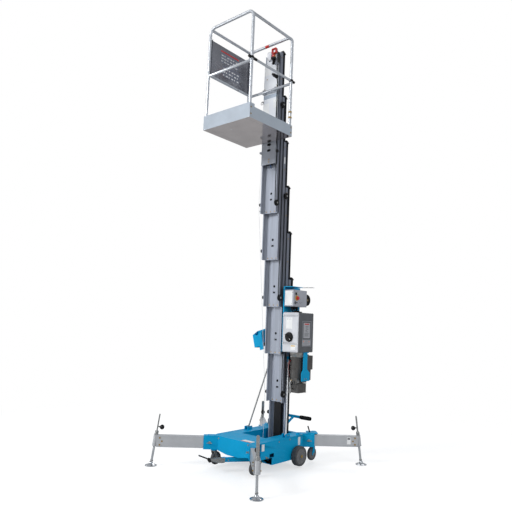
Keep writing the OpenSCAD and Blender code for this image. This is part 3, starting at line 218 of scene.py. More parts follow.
TYRE = finish("grey tyre rubber", (78, 78, 80), 0.72, spread=0.2, grain=22, bump=0.16, bump_scale=260, scuff=0.35,
              scuff_rgb=(112, 110, 106))
HUB = finish("moulded hub", (112, 112, 114), 0.5, spread=0.12, grain=25, bump=0.08, scuff=0.2,
             scuff_rgb=(140, 140, 140))
BLACK_STEEL = finish("black enamel steel", (14, 14, 16), 0.5, 0.1, specular=0.3, spread=0.25, grain=12, bump=0.06,
                     scuff=0.15, scuff_rgb=(48, 48, 52))
CHAIN = finish("oiled chain steel", (58, 56, 54), 0.4, 0.8, spread=0.3, grain=60, bump=0.08, scuff=0.3,
               scuff_rgb=(90, 84, 74))
RED = finish("red moulding", (205, 36, 28), 0.3, spread=0.12, grain=25, bump=0.03, coat=0.3, scuff=0.1,
             scuff_rgb=(220, 90, 80))
YELLOW = finish("yellow ring", (228, 180, 30), 0.4, spread=0.1, grain=25, bump=0.04, scuff_rgb=(180, 140, 40))
PLATE = finish("white label stock", (246, 247, 247), 0.4, spread=0.05, grain=12, bump=0.02, scuff=0.1,
               scuff_rgb=(190, 190, 186))
FIELD = finish("grey printed field", (120, 124, 138), 0.35, 0.2, spread=0.08, grain=20, bump=0.02, scuff=0.1)
STRAP = finish("dark blue webbing", (8, 58, 104), 0.75, spread=0.15, grain=60, bump=0.15, bump_scale=900, scuff=0.1)
WHITE_SHEET = finish("pale coated sheet", (238, 241, 246), 0.45, 0.05, spread=0.03, grain=6, bump=0.03, scuff=0.08,
                     scuff_rgb=(190, 192, 196))
# painted shade: a darker grey-blue copy of the pale sheet for its folded ribs
RIB_PAINTED_SHADE = finish("folded rib", (172, 184, 198), 0.42, 0.15, spread=0.05, grain=8, bump=0.03, scuff=0.08)
LABEL = finish("worn grey label", (176, 177, 182), 0.4, spread=0.05, grain=14, bump=0.02, scuff=0.12)
CASE_MID = finish("case trim", (138, 140, 146), 0.45, 0.05, spread=0.06, grain=10, bump=0.05, scuff=0.1)
PLATE_GREY = finish("grey label stock", (150, 152, 155), 0.4, spread=0.06, grain=12, bump=0.02, scuff=0.12)
ORANGE = finish("orange label band", (226, 106, 40), 0.4, spread=0.06, grain=12, bump=0.02, scuff=0.1)
COPPER = finish("red lead", (170, 28, 24), 0.45, spread=0.1, grain=30, bump=0.03, scuff=0.1)


# ---- building pieces ----
def new_object(name, data):
    ob = bpy.data.objects.new(name, data)
    bpy.context.scene.collection.objects.link(ob)
    return ob


def evaluated_mesh(ob):
    bpy.context.view_layer.update()
    dg = bpy.context.evaluated_depsgraph_get()
    return bpy.data.meshes.new_from_object(ob.evaluated_get(dg), preserve_all_data_layers=True, depsgraph=dg)


def plain(ob, name, keep_angle=KEEP_SHARP):
    """The evaluated shape as a plain mesh on a new object at the origin."""
    me = evaluated_mesh(ob)
    me.transform(ob.matrix_world)
    bpy.data.objects.remove(ob)
    me.polygons.foreach_set("use_smooth", [True] * len(me.polygons))
    me.set_sharp_from_angle(angle=math.radians(keep_angle))
    return new_object(name, me)


def weigh(ob):
    """Flat faces keep their own shading beside a rounded edge."""
    ob.modifiers.new("weigh", "WEIGHTED_NORMAL").keep_sharp = True
    me, old = evaluated_mesh(ob), ob.data
    ob.modifiers.clear()
    ob.data = me
    bpy.data.meshes.remove(old)


def settle(ob, name, body, stands_for="", bevel=0.0):
    if bevel:
        bv = ob.modifiers.new("edge", "BEVEL")
        bv.width, bv.segments, bv.limit_method = bevel * MM, 2, "ANGLE"
        bv.angle_limit = math.radians(KEEP_SHARP)
        bv.use_clamp_overlap, bv.harden_normals, bv.miter_outer = True, False, "MITER_ARC"
    ob = plain(ob, name)
    if bevel:
        weigh(ob)
    if body:
        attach(ob, body)
    if stands_for:
        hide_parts(stands_for)
    return ob


def dress(name, body, default, rules=(), bevel=0.7):
    """A bevelled copy of a solid, with each region in its own finish. rules: (finish, test(centre, normal))."""
    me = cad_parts[name].data.copy()
    me.materials.clear()
    bm = bmesh.new()
    bm.from_mesh(me)
    bmesh.ops.remove_doubles(bm, verts=bm.verts, dist=2e-5)
    bmesh.ops.dissolve_limit(bm, angle_limit=math.radians(0.7), verts=bm.verts, edges=bm.edges, delimit={"NORMAL"})
    for paint in [default] + [r[0] for r in rules]:
        me.materials.append(paint)
    for f in bm.faces:
        c = f.calc_center_median() / MM
        f.material_index = next((k + 1 for k, r in enumerate(rules) if r[1](c, f.normal)), 0)
    bm.to_mesh(me)
    bm.free()
    return settle(new_object("raw", me), name + "_body", body, name, bevel)


# a point (u, v) of a flat shape, at the distance w along the axis that crosses it
PUT = {"x": lambda u, v, w: (w, u, v), "y": lambda u, v, w: (u, w, v), "z": lambda u, v, w: (u, v, w)}


class Kit:
    """Collects closed shapes, in millimetres, into one piece."""

    def __init__(self):
        self.bm = bmesh.new()
        self.paints = []

    def add(self, points, faces, paint):
        if paint not in self.paints:
            self.paints.append(paint)
        vs = [self.bm.verts.new(p) for p in points]
        for f in faces:
            self.bm.faces.new([vs[i] for i in f]).material_index = self.paints.index(paint)

    def box(self, lo, hi, paint):
        pts = [(x, y, z) for x in (lo[0], hi[0]) for y in (lo[1], hi[1]) for z in (lo[2], hi[2])]
        self.add(pts, [(0, 1, 3, 2), (4, 6, 7, 5), (0, 4, 5, 1), (2, 3, 7, 6), (0, 2, 6, 4), (1, 5, 7, 3)], paint)

    def prism(self, outline, across, a, b, paint, place=Matrix()):
        """A flat outline pushed from a to b along the axis named by across."""
        n = len(outline)
        pts = [place @ Vector(PUT[across](u, v, w)) for w in (a, b) for u, v in outline]
        faces = [tuple(range(n - 1, -1, -1)), tuple(range(n, 2 * n))]
        faces += [(i, (i + 1) % n, n + (i + 1) % n, n + i) for i in range(n)]
        self.add(pts, faces, paint)

    def lathe(self, profile, base, axis, paint, seg=40, closed=False):
        """profile: (radius, distance along the axis); closed joins its last point to its first."""
        axis = Vector(axis).normalized()
        side = axis.orthogonal().normalized()
        up = axis.cross(side)
        pts, rings, faces = [], [], []
        for r, h in profile:
            n = seg if r > 1e-6 else 1
            rings.append(range(len(pts), len(pts) + n))
            pts += [Vector(base) + axis * h + (side * math.cos(t) + up * math.sin(t)) * (r if n > 1 else 0)
                    for t in (2 * math.pi * j / seg for j in range(n))]
        for a, b in list(zip(rings, rings[1:])) + ([(rings[-1], rings[0])] if closed else []):
            for j in range(seg):
                q = [a[j % len(a)], a[(j + 1) % len(a)], b[(j + 1) % len(b)], b[j % len(b)]]
                q = list(dict.fromkeys(q))
                if len(q) > 2:
                    faces.append(q)
        self.add(pts, faces, paint)

    def rod(self, p, q, r, paint, seg=28, soft=0.0):
        p, q = Vector(p), Vector(q)
        h = (q - p).length
        s = min(soft, r * 0.8, h * 0.4)
        edge = [(r - s, 0), (r - s * 0.3, s * 0.3), (r, s), (r, h - s), (r - s * 0.3, h - s * 0.3), (r - s, h)]
        self.lathe([(0, 0)] + (edge if soft else [(r, 0), (r, h)]) + [(0, h)], p, q - p, paint, seg)

    def studs(self, centre, r, n, across, a, b, thick, paint, seg, start=0.0, soft=0.0):
        """Rods from a to b along the axis named by across, evenly round a circle."""
        for t in (2 * math.pi * i / n + start for i in range(n)):
            p, q = ([c + o for c, o in zip(centre, PUT[across](r * math.cos(t), r * math.sin(t), w))] for w in (a, b))
            self.rod(p, q, thick, paint, seg, soft)

    def ball(self, centre, r, paint, seg=28):
        n = seg // 2
        self.lathe([(r * math.sin(math.pi * i / n) if 0 < i < n else 0, -r * math.cos(math.pi * i / n))
                    for i in range(n + 1)], centre, Z, paint, seg)

    def pipe(self, points, r, paint, seg=14, caps=True):
        """A round bar along a path of points, with rings that don't twist."""
        path = [Vector(p) for p in points]
        pts, side, last = [], None, len(path) - 1
        for i, p in enumerate(path):
            d = (path[min(i + 1, last)] - path[max(i - 1, 0)]).normalized()
            side = d.orthogonal().normalized() if side is None else (side - d * side.dot(d)).normalized()
            up = d.cross(side)
            rr = r[i] if isinstance(r, list) else r
            pts += [p + (side * math.cos(t) + up * math.sin(t)) * rr
                    for t in (2 * math.pi * j / seg for j in range(seg))]
        faces = [(i * seg + j, i * seg + (j + 1) % seg, (i + 1) * seg + (j + 1) % seg, (i + 1) * seg + j)
                 for i in range(last) for j in range(seg)]
        if caps:
            faces += [range(seg - 1, -1, -1), range(last * seg, (last + 1) * seg)]
        self.add(pts, faces, paint)

    def weld(self, points, r, paint=BLUE):
        """A bead of weld along a path, with small even ripples."""
        pts = [Vector(p) for p in points]
        fine = []
        for a, b in zip(pts, pts[1:]):
            n = max(2, int((b - a).length / (r * 0.9)))
            fine += [a.lerp(b, j / n) for j in range(n)]
        fine.append(pts[-1])
        self.pipe(fine, [r * (1.0 + 0.16 * (j % 2)) for j in range(len(fine))], paint, 8)

    def make(self, name, body, stands_for="", bevel=0.0):
        bmesh.ops.scale(self.bm, vec=(MM, MM, MM), verts=self.bm.verts)
        bmesh.ops.recalc_face_normals(self.bm, faces=self.bm.faces)
        me = bpy.data.meshes.new(name)
        self.bm.to_mesh(me)
        self.bm.free()
        for p in self.paints:
            me.materials.append(p)
        return settle(new_object("raw", me), name, body, stands_for, bevel)


def arc(centre, r, a0, a1, n, across="x"):
    """Points on an arc, angles in degrees, round the axis named by across."""
    turns = [math.radians(a0 + (a1 - a0) * i / n) for i in range(n + 1)]
    return [Vector(centre) + Vector(PUT[across](r * math.cos(t), r * math.sin(t), 0)) for t in turns]


def smooth_path(points, n=8):
    """A soft curve through the points."""
    p = [Vector(q) for q in points]
    out = []
    for i in range(len(p) - 1):
        a, b, c, d = p[max(i - 1, 0)], p[i], p[i + 1], p[min(i + 2, len(p) - 1)]
        out += [0.5 * ((2 * b) + (c - a) * t + (2 * a - 5 * b + 4 * c - d) * t * t + (3 * b - a - 3 * c + d) * t ** 3)
                for t in (j / n for j in range(n))]
    return out + [p[-1]]


# ---- Geometry Nodes for what repeats ----
def repeating(name, sizes, build, on_line):
    """A tree that sets what build makes on the guide's points, or at even steps along its line."""
    t = bpy.data.node_groups.new(name, "GeometryNodeTree")
    t.interface.new_socket("Guide", in_out="INPUT", socket_type="NodeSocketGeometry")
    for label, value in sizes:
        t.interface.new_socket(label, in_out="INPUT", socket_type="NodeSocketFloat").default_value = value
    t.interface.new_socket("Finish", in_out="INPUT", socket_type="NodeSocketMaterial")
    t.interface.new_socket("Mesh", in_out="OUTPUT", socket_type="NodeSocketGeometry")
    given = node(t, "NodeGroupInput").outputs
    thing, turn, size = build(t, given)
    points = given["Guide"]
    if on_line:
        curve = node(t, "GeometryNodeMeshToCurve", {0: points})
        points = node(t, "GeometryNodeResampleCurve", {"Curve": curve, "Length": given[on_line]}, mode="LENGTH")
    put = {"Points": points, "Instance": thing, "Rotation": turn}
    if size:
        put["Scale"] = size
    real = node(t, "GeometryNodeRealizeInstances", {0: node(t, "GeometryNodeInstanceOnPoints", put)})
    node(t, "NodeGroupOutput", {0: node(t, "GeometryNodeSetMaterial",
                                        {"Geometry": real, "Material": given["Finish"]})})
    return t


def aim_of(t):
    return node(t, "GeometryNodeInputNamedAttribute", {"Name": "aim"}, data_type="FLOAT_VECTOR")


def along_line(t, **how):
    return node(t, "FunctionNodeAlignRotationToVector", {"Vector": node(t, "GeometryNodeInputTangent")}, axis="Z",
                **how)


def screw(t, given):
    """A hexagon head on a washer, aimed along the point's aim."""
    head = node(t, "GeometryNodeMeshCylinder", {"Vertices": 6, "Radius": given["Head radius"],
                                                "Depth": given["Head height"]})
    washer = node(t, "GeometryNodeMeshCylinder", {"Vertices": 20, "Depth": 0.0012, "Radius": given["Washer radius"]})
    rise = node(t, "ShaderNodeMath", {0: product(t, given["Head height"], 0.5), 1: 0.0008}, operation="ADD")
    lift = node(t, "GeometryNodeTransform", {0: head, "Translation": node(t, "ShaderNodeCombineXYZ", {2: rise})})
    join = node(t, "GeometryNodeJoinGeometry", {0: [lift, washer]})
    return join, node(t, "FunctionNodeAlignRotationToVector", {"Vector": aim_of(t)}, axis="Z"), None


def chain_link(t, given):
    """Four plates side by side, turn about."""
    size = node(t, "ShaderNodeCombineXYZ", {0: product(t, given["Width"], 0.2), 1: given["Height"],
                                            2: product(t, given["Pitch"], 0.92)})
    plate = node(t, "GeometryNodeMeshCube", {"Size": size})
    plates = [node(t, "GeometryNodeTransform", {0: plate, "Translation": node(t, "ShaderNodeCombineXYZ", {
        0: product(t, given["Width"], k), 2: 0.004 if abs(k) < 0.2 else -0.004})}) for k in (-0.4, -0.13, 0.13, 0.4)]
    return node(t, "GeometryNodeJoinGeometry", {0: plates}), along_line(t, pivot_axis="X"), None


def grip_rib(t, given):
    """A raised ring."""
    ring, rib = (node(t, "GeometryNodeCurvePrimitiveCircle", {"Resolution": n, "Radius": given[label]})
                 for n, label in ((32, "Ring radius"), (8, "Rib radius")))
    return node(t, "GeometryNodeCurveToMesh", {"Curve": ring, "Profile Curve": rib}), along_line(t), None


def stud(t, given):
    """A low raised oval of a tread."""
    size = node(t, "ShaderNodeCombineXYZ", {k: given["Stud " + s]
                                            for k, s in enumerate(("length", "width", "height"))})
    return node(t, "GeometryNodeMeshUVSphere", {"Segments": 10, "Rings": 6, "Radius": 0.5}), aim_of(t), size


SCREWS = repeating("hexagon screws", (("Head radius", 0.006), ("Head height", 0.004), ("Washer radius", 0.008)),
                   screw, "")
LINKS = repeating("leaf chain", (("Pitch", 0.016), ("Width", 0.012), ("Height", 0.006)), chain_link, "Pitch")
RIBS = repeating("grip ribs", (("Ring radius", 0.02), ("Rib radius", 0.0015), ("Spacing", 0.008)), grip_rib, "Spacing")
STUDS = repeating("tread studs", (("Stud length", 0.022), ("Stud width", 0.007), ("Stud height", 0.0014)), stud, "")


def repeat(tree, name, body, guide, sizes, paint, aims=None, keep=KEEP_SHARP):
    """Runs a tree on guide points, or on a guide line where aims is None, and keeps the result as a plain mesh."""
    me = bpy.data.meshes.new(name + "_guide")
    pts = [Vector(p) * MM for p in guide]
    me.from_pydata(pts, [] if aims else [(i, i + 1) for i in range(len(pts) - 1)], [])
    if aims:
        a = me.attributes.new("aim", "FLOAT_VECTOR", "POINT")
        a.data.foreach_set("vector", [c for v in aims for c in v])
    ob = new_object(name + "_guide", me)
    md = ob.modifiers.new("repeat", "NODES")
    md.node_group = tree
    labels = {s.name: s.identifier for s in tree.interface.items_tree if s.in_out == "INPUT"}
    sizes = dict(zip([k for k in labels if k not in ("Guide", "Finish")], sizes))
    for k, v in sizes.items():
        md[labels[k]] = v * MM
    md[labels["Finish"]] = paint
    ob = plain(ob, name, keep)
    if body:
        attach(ob, body)
    return ob


def screws(name, body, places, r=6.0, h=4.0, washer=8.5, paint=BRASS):
    """places: (point, aim)."""
    return repeat(SCREWS, name, body, [p for p, a in places], (r, h, washer), paint,
                  [a for p, a in places])


# ---- camera, lamps and floor ----
def lamp(name, place, aim, size, watts):
    la = bpy.data.lights.new(name, "AREA")
    la.shape, la.size, la.energy = "DISK", size, watts
    ob = new_object(name, la)
    ob.location = place
    ob.rotation_euler = (Vector(aim) - Vector(place)).to_track_quat("-Z", "Y").to_euler()


def studio():
    cam = bpy.data.cameras.new("camera")
    cam.lens, cam.sensor_width, cam.clip_end = CAMERA_LENS, 36.0, 100.0
    yaw, pitch, roll = (math.radians(v) for v in CAMERA_YAW_PITCH_ROLL)
    ahead = Vector((-math.sin(yaw) * math.cos(pitch), math.cos(yaw) * math.cos(pitch), math.sin(pitch)))
    level = Vector((math.cos(yaw), math.sin(yaw), 0))
    up = level.cross(ahead)
    right, above = level * math.cos(roll) + up * math.sin(roll), up * math.cos(roll) - level * math.sin(roll)
    ob = new_object("camera", cam)
    ob.matrix_world = Matrix.Translation(CAMERA_PLACE) @ Matrix((right, above, -ahead)).transposed().to_4x4()
    bpy.context.scene.camera = ob

    lamp("key", (-5.0, -14.0, 9.0), (0, 0, 2.2), 5.0, 1050)
    lamp("low", (-7.0, -11.0, 1.6), (0, 0, 0.8), 3.0, 150)
    lamp("fill", (9.5, -4.0, 5.0), (0, 0, 2.0), 4.0, 170)
    lamp("back", (-4.0, 9.0, 8.0), (0, 0, 2.5), 4.0, 260)

    # the surround lights the machine evenly, and is plain white where the camera sees it
    white = (1, 1, 1, 1)
    world = bpy.data.worlds.new("surround")
    bpy.context.scene.world = world
    nt = empty_tree(world)
    seen = node(nt, "ShaderNodeLightPath").outputs["Is Camera Ray"]
    lit = node(nt, "ShaderNodeBackground", {0: SURROUND_TINT, 1: SURROUND})
    plain_white = node(nt, "ShaderNodeBackground", {0: white})
    mix = node(nt, "ShaderNodeMixShader", {0: seen, 1: lit, 2: plain_white})
    node(nt, "ShaderNodeOutputWorld", {0: mix})

    # the floor is pale round the feet and white further out
    me = bpy.data.meshes.new("studio_floor")
    me.from_pydata([(-40, -40, 0), (40, -40, 0), (40, 40, 0), (-40, 40, 0)], [], [(0, 1, 2, 3)])
    paint = bpy.data.materials.new("pale floor")
    nt = empty_tree(paint)
    seen = node(nt, "ShaderNodeLightPath").outputs["Is Camera Ray"]
    soft = node(nt, "ShaderNodeBsdfDiffuse", {0: (FLOOR_GREY, FLOOR_GREY, FLOOR_GREY, 1)})
    glow = node(nt, "ShaderNodeEmission", {"Strength": product(nt, seen, FLOOR_GLOW)})
    near = node(nt, "ShaderNodeAddShader", {0: soft, 1: glow})
    place = node(nt, "ShaderNodeTexCoord").outputs["Object"]
    away = node(nt, "ShaderNodeVectorMath", {0: place}, operation="LENGTH").outputs["Value"]
    fade = node(nt, "ShaderNodeMapRange", {"From Min": FLOOR_FADE[0], "From Max": FLOOR_FADE[1], "Value": away})
    far = node(nt, "ShaderNodeEmission", {"Color": white})
    mix = node(nt, "ShaderNodeMixShader", {0: product(nt, fade, seen), 1: near, 2: far})
    node(nt, "ShaderNodeOutputMaterial", {0: mix})
    me.materials.append(paint)
    new_object("studio_floor", me)


# ---- mast ----
def sheave_z(i):
    """The side sheaves stand low on the odd stages and high on the even ones."""
    return column_z(i) + 95 if i % 2 else column_top(i) - 105


def chain_x(i):
    return 66 if i % 2 else 44


def pulley_place(i):
    """Y and z of the chain pulleys in a column's head."""
    return column_front(i) + 51, column_top(i) - 28


def both_ways(half):
    """A lathe profile followed by its mirror image."""
    return half + [(r, -h) for r, h in reversed(half)]


def mast_rules(i):
    f, b, t = column_front(i), column_z(i), column_top(i)
    px = chain_x(i)
    return [
        (PLASTIC, lambda c, n: c.z > t - 0.4 and not (n.z > 0.9 and c.z < t + 0.2)),
        (PLASTIC, lambda c, n: 90.2 < abs(c.x) < 94.3 and c.z > t - 210 and 7 < c.y - f < 19),
        (ZINC, lambda c, n: i > 0 and abs(abs(c.x) - px) < 9.3 and 30 < c.y - f < 72 and c.z > t - 52
         and not 47.5 < c.y - f < 54.5),
        (BRASS, lambda c, n: 112.2 < c.x < 115.3 and c.z > t - 330),
        (ZINC, lambda c, n: c.x > 112.2),
        (PLASTIC, lambda c, n: c.x < -112.2),
        (BRASS, lambda c, n: 44.5 < c.y - f < 47.9 and c.z < b + 24),
        (BLACK_STEEL, lambda c, n: i == 0 and c.y - f > 40 and 880 < c.z - b < 930),
        # the flanks take the darker copy of the anodising as painted shade
        (FLANK_PAINTED_SHADE, lambda c, n: abs(n.x) > 0.9 and 111.5 < abs(c.x) < 112.2 and c.z < t - 0.5),
        # the recessed necks, dark partly from black hardware and partly from painted shade
        (NECK_BLACK_AND_SHADE, lambda c, n: c.y - f > 44.5 and abs(c.x) > 84.3 and c.z < t - 0.5 and abs(n.z) < 0.5),
    ]


def column_trim(i):
    """The moulded cap, the fine lines of the extrusion, painted shade in the web's openings and the screws of one
    column.
    """
    f, b, t = column_front(i), column_z(i), column_top(i)
    # ribs over the cap's curve and two fixing bosses
    k = Kit()
    for x in (-108, -36, 36, 108):
        k.pipe([(x, f + 40 + 59.4 * math.sin(a), t - 30 + 59.4 * math.cos(a))
                for a in (math.radians(2 + 56 * j / 14) for j in range(15))], 1.5, PLASTIC, 8)
    for s in (-1, 1):
        k.rod((s * 78, f + 50, t + 26), (s * 78, f + 50, t + 29.6), 7, PLASTIC, 20, 1)
    k.make("cap_trim_%d" % i, stage(i), bevel=0.4)
    # near-black discs as painted shade in the depth of the web's round opening and slot, black rims round them, wear
    # strips in the front lips and fine lines of the extrusion
    k = Kit()
    k.rod((0, f + 49.5, b + 225), (0, f + 53.4, b + 225), 10.9, PAINTED_HOLE_SHADE, 28)
    k.lathe([(10.6, 0), (14.2, 0), (14.2, 0.5), (12.6, 1.0), (10.6, 1.0)], (0, f + 48.1, b + 225), -Y, PLASTIC, 32,
            True)
    k.box((-14.9, f + 49.5, b + 152.1), (14.9, f + 53.4, b + 161.9), PAINTED_HOLE_SHADE)
    for z0, z1 in ((b + 147.5, b + 151.8), (b + 162.2, b + 166.5)):
        k.box((-18, f + 47.2, z0), (18, f + 48.2, z1), PLASTIC)
    for s in (-1, 1):
        for y in (9.0, 30.5):
            k.box((s * 112 - 0.5, f + y, b + 1), (s * 112 + 0.45, f + y + 1.6, t - 1), MAST)
        k.box((s * 60 - 1, f + 47.2, b + 1), (s * 60 + 1, f + 48.2, t - 60), MAST)
        k.box((s * 88 - 1.5, f + 90.6, b + 1), (s * 88 + 1.5, f + 91.6, t - 1), MAST)
    k.make("column_ribs_%d" % i, stage(i), bevel=0.25)
    places = [((s * 112.4, f + 19, t - h), s * X) for s in (1, -1) for h in (60, 320)]
    if i:
        places += [((x, f + 46.5, b + 18), -Y) for x in (-60, 0, 60)]
    screws("column_screws_%d" % i, stage(i), places, 5.0, 3.2, 6.5)
    # label plate without any lettering, high on the right flank
    if i in (0, 3):
        k = Kit()
        k.box((111.8, f + 12, t - 250), (112.6, f + 29, t - 175), PLATE)
        k.make("flank_label_%d" % i, stage(i), bevel=0.2)


def side_pulleys(i):
    """The cable sheave with its cheeks and hub cap, and the small guide pulley of the sequence wire."""
    y, z = column_front(i) - 8, sheave_z(i)
    k = Kit()
    k.lathe([(6.2, 118.4), (13, 118.2), (14, 119.5), (31, 120), (33.7, 118.6), (33.9, 120.5), (29, 122.6),
             (23.4, 124.5), (22.8, 128), (23.4, 131.5), (29, 133.4), (33.9, 135.5), (33.7, 137.4), (31, 136),
             (14, 136.5), (13, 137.6), (6.2, 137.8)], (0, y, z), X, PLASTIC, 48, True)
    k.studs((136.0, y, z), 21.5, 5, "x", 0, 0.9, 3.6, PLASTIC, 12)
    k.make("sheave_wheel_%d" % i, "cable_sheave_%d" % i, "cable_sheave_%d" % i, 0.35)
    k = Kit()
    k.lathe([(0, 142.9), (4, 142.9), (6.5, 142.4), (9.9, 140.5), (9.9, 138.7), (0, 138.7)], (0, y, z), X, CHROME, 32)
    k.make("sheave_hub_cap_%d" % i, stage(i))
    screws("sheave_bracket_screws_%d" % i, stage(i), [((116.2, y + 20, z + h), X) for h in (20, -20)], 4.2, 3, 5.6)
    gy, gz = column_front(i) + 12, column_z(i) + 100
    k = Kit()
    k.lathe([(5.2, -123.9), (8, -123.9), (9, -122), (17, -121.6), (19.8, -123.6), (19.9, -121.6), (17.4, -119.4),
             (19.9, -117.2), (19.8, -115.2), (17, -117), (9, -116.8), (5.2, -115.2)], (0, gy, gz), X, PLASTIC, 36,
            True)
    k.rod((-124.0, gy, gz), (-112, gy, gz), 5.0, ZINC, 18, 0.8)
    if i == 5:
        k.lathe([(0, -124), (9, -124), (11, -122), (11, -114), (0, -114)], (0, gy + 2, gz - 72), X, PLASTIC, 28)
    k.make("wire_pulley_%d" % i, stage(i), bevel=0.3)


def mast():
    for i in COLUMNS:
        dress(stage(i) if i else "mast_base_column", stage(i), MAST, mast_rules(i))
    for i in COLUMNS:
        column_trim(i)
    for i in STAGES:
        side_pulleys(i)
    groove = both_ways([(5, -9), (18.4, -9), (21.5, -8.6), (21.5, -7.4), (19.0, -7.2)])
    for i in STAGES:
        k = Kit()
        for s in (-1, 1):
            k.lathe(groove, (s * chain_x(i), *pulley_place(i)), X, ZINC, 36, True)
        k.make("head_pulleys_%d" % i, stage(i), bevel=0.3)


def span(ob, a, b, start, end):
    """Bakes a piece's placement into its mesh."""
    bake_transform(ob)
    return ob


def chains():
    """Each run hangs between two neighbouring stages."""
    def run(name, a, b, x, y, z0, z1):
        ends = (x, y, z0), (x, y, z1)
        return span(repeat(LINKS, name, None, ends, (15.0, 13.0, 5.6), CHAIN), a, b, *ends)

    def wrap(name, body, centre, r, steps):
        repeat(LINKS, name, body, arc(centre, r, 180, 0, steps), (11.0, 13.0, 5.0), CHAIN)

    for i in STAGES:
        y, z = pulley_place(i)
        low = (column_z(i + 1) if i < 5 else CARRIAGE_Z) + 44
        for side, s in SIDES:
            x = s * chain_x(i)
            down = run("chain_down_%d_%s" % (i, side), stage(i + 1), stage(i), x, y - 22, low, z)
            if i == 1 and s < 0:
                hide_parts("lift_chains")
            run("chain_back_%d_%s" % (i, side), stage(i - 1), stage(i), x, y + 22, column_top(i - 1) - 130, z)
            wrap("chain_wrap_%d_%s" % (i, side), stage(i), (x, y, z), 22, 20)
    # the chain over the cylinder's crosshead, which draws the first column up
    y, z = CROSSHEAD
    run("chain_down_0", "mast_column_1", "base", 0, y - 19, 671, z)
    wrap("chain_wrap_0", "cylinder_rod", (0, y, z), 19, 16)
    run("chain_back_0", "base", "cylinder_rod", 0, y + 19, 1017, z)


def cables():
    """The flat lay of the power cable over the side sheaves, and the pale sequence wire on the left."""
    heights = [1868.0] + [sheave_z(i) for i in STAGES] + [3367.0]
    for i in COLUMNS:
        x, y, z0, z1 = CABLE_X, column_front(i) - 36.0, heights[i], heights[i + 1]
        k = Kit()
        k.pipe([(x, y, z0), (x, y, (z0 + z1) / 2), (x, y, z1)], 5.0, RUBBER, 16)
        ob = k.make("power_cable_run_%d" % i, None, "" if i else "mast_cables")
        span(ob, stage(i), stage(i + 1), (x, y, z0), (x, y, z1))
        if i:
            k = Kit()
            k.pipe(arc((x, column_front(i) - 8, z0), 28, 180, 360 if i % 2 else 0, 20), 5.0, RUBBER, 16)
            k.make("power_cable_turn_%d" % i, stage(i))
    # the sequence wire runs straight from pulley to pulley, and ends in an eye at the foot and on the carriage
    stops = [(200.0, 116.0)] + [(column_front(i) - 8.0, column_z(i) + 100.0) for i in STAGES] + [(0.0, 3385.0)]
    stops = [(-CABLE_X, y, z) for y, z in stops]
    for i in COLUMNS:
        k = Kit()
        k.pipe(stops[i:i + 2], 2.0, WIRE, 10)
        ob = k.make("sequence_wire_%d" % i, None)
        span(ob, stage(i), stage(i + 1), stops[i], stops[i + 1])
    k = Kit()
    k.pipe(arc((-CABLE_X, 200, 112), 5, 0, 360, 16), 2.0, ZINC, 8, False)
    k.rod((-CABLE_X, 200, 112), (-120.0, 200, 112), 3, ZINC, 14)
    k.box((-122, 192, 105.2), (-119, 208, 120), ZINC)
    k.make("wire_eye", "base")


# ---- chassis and its running gear ----
def corner_matrix(c):
    sx, sy = CORNERS[c]
    return Matrix.Translation((sx * FOOT[0], sy * FOOT[1], 0)) @ Matrix.Rotation(math.atan2(sy, sx), 4, "Z")


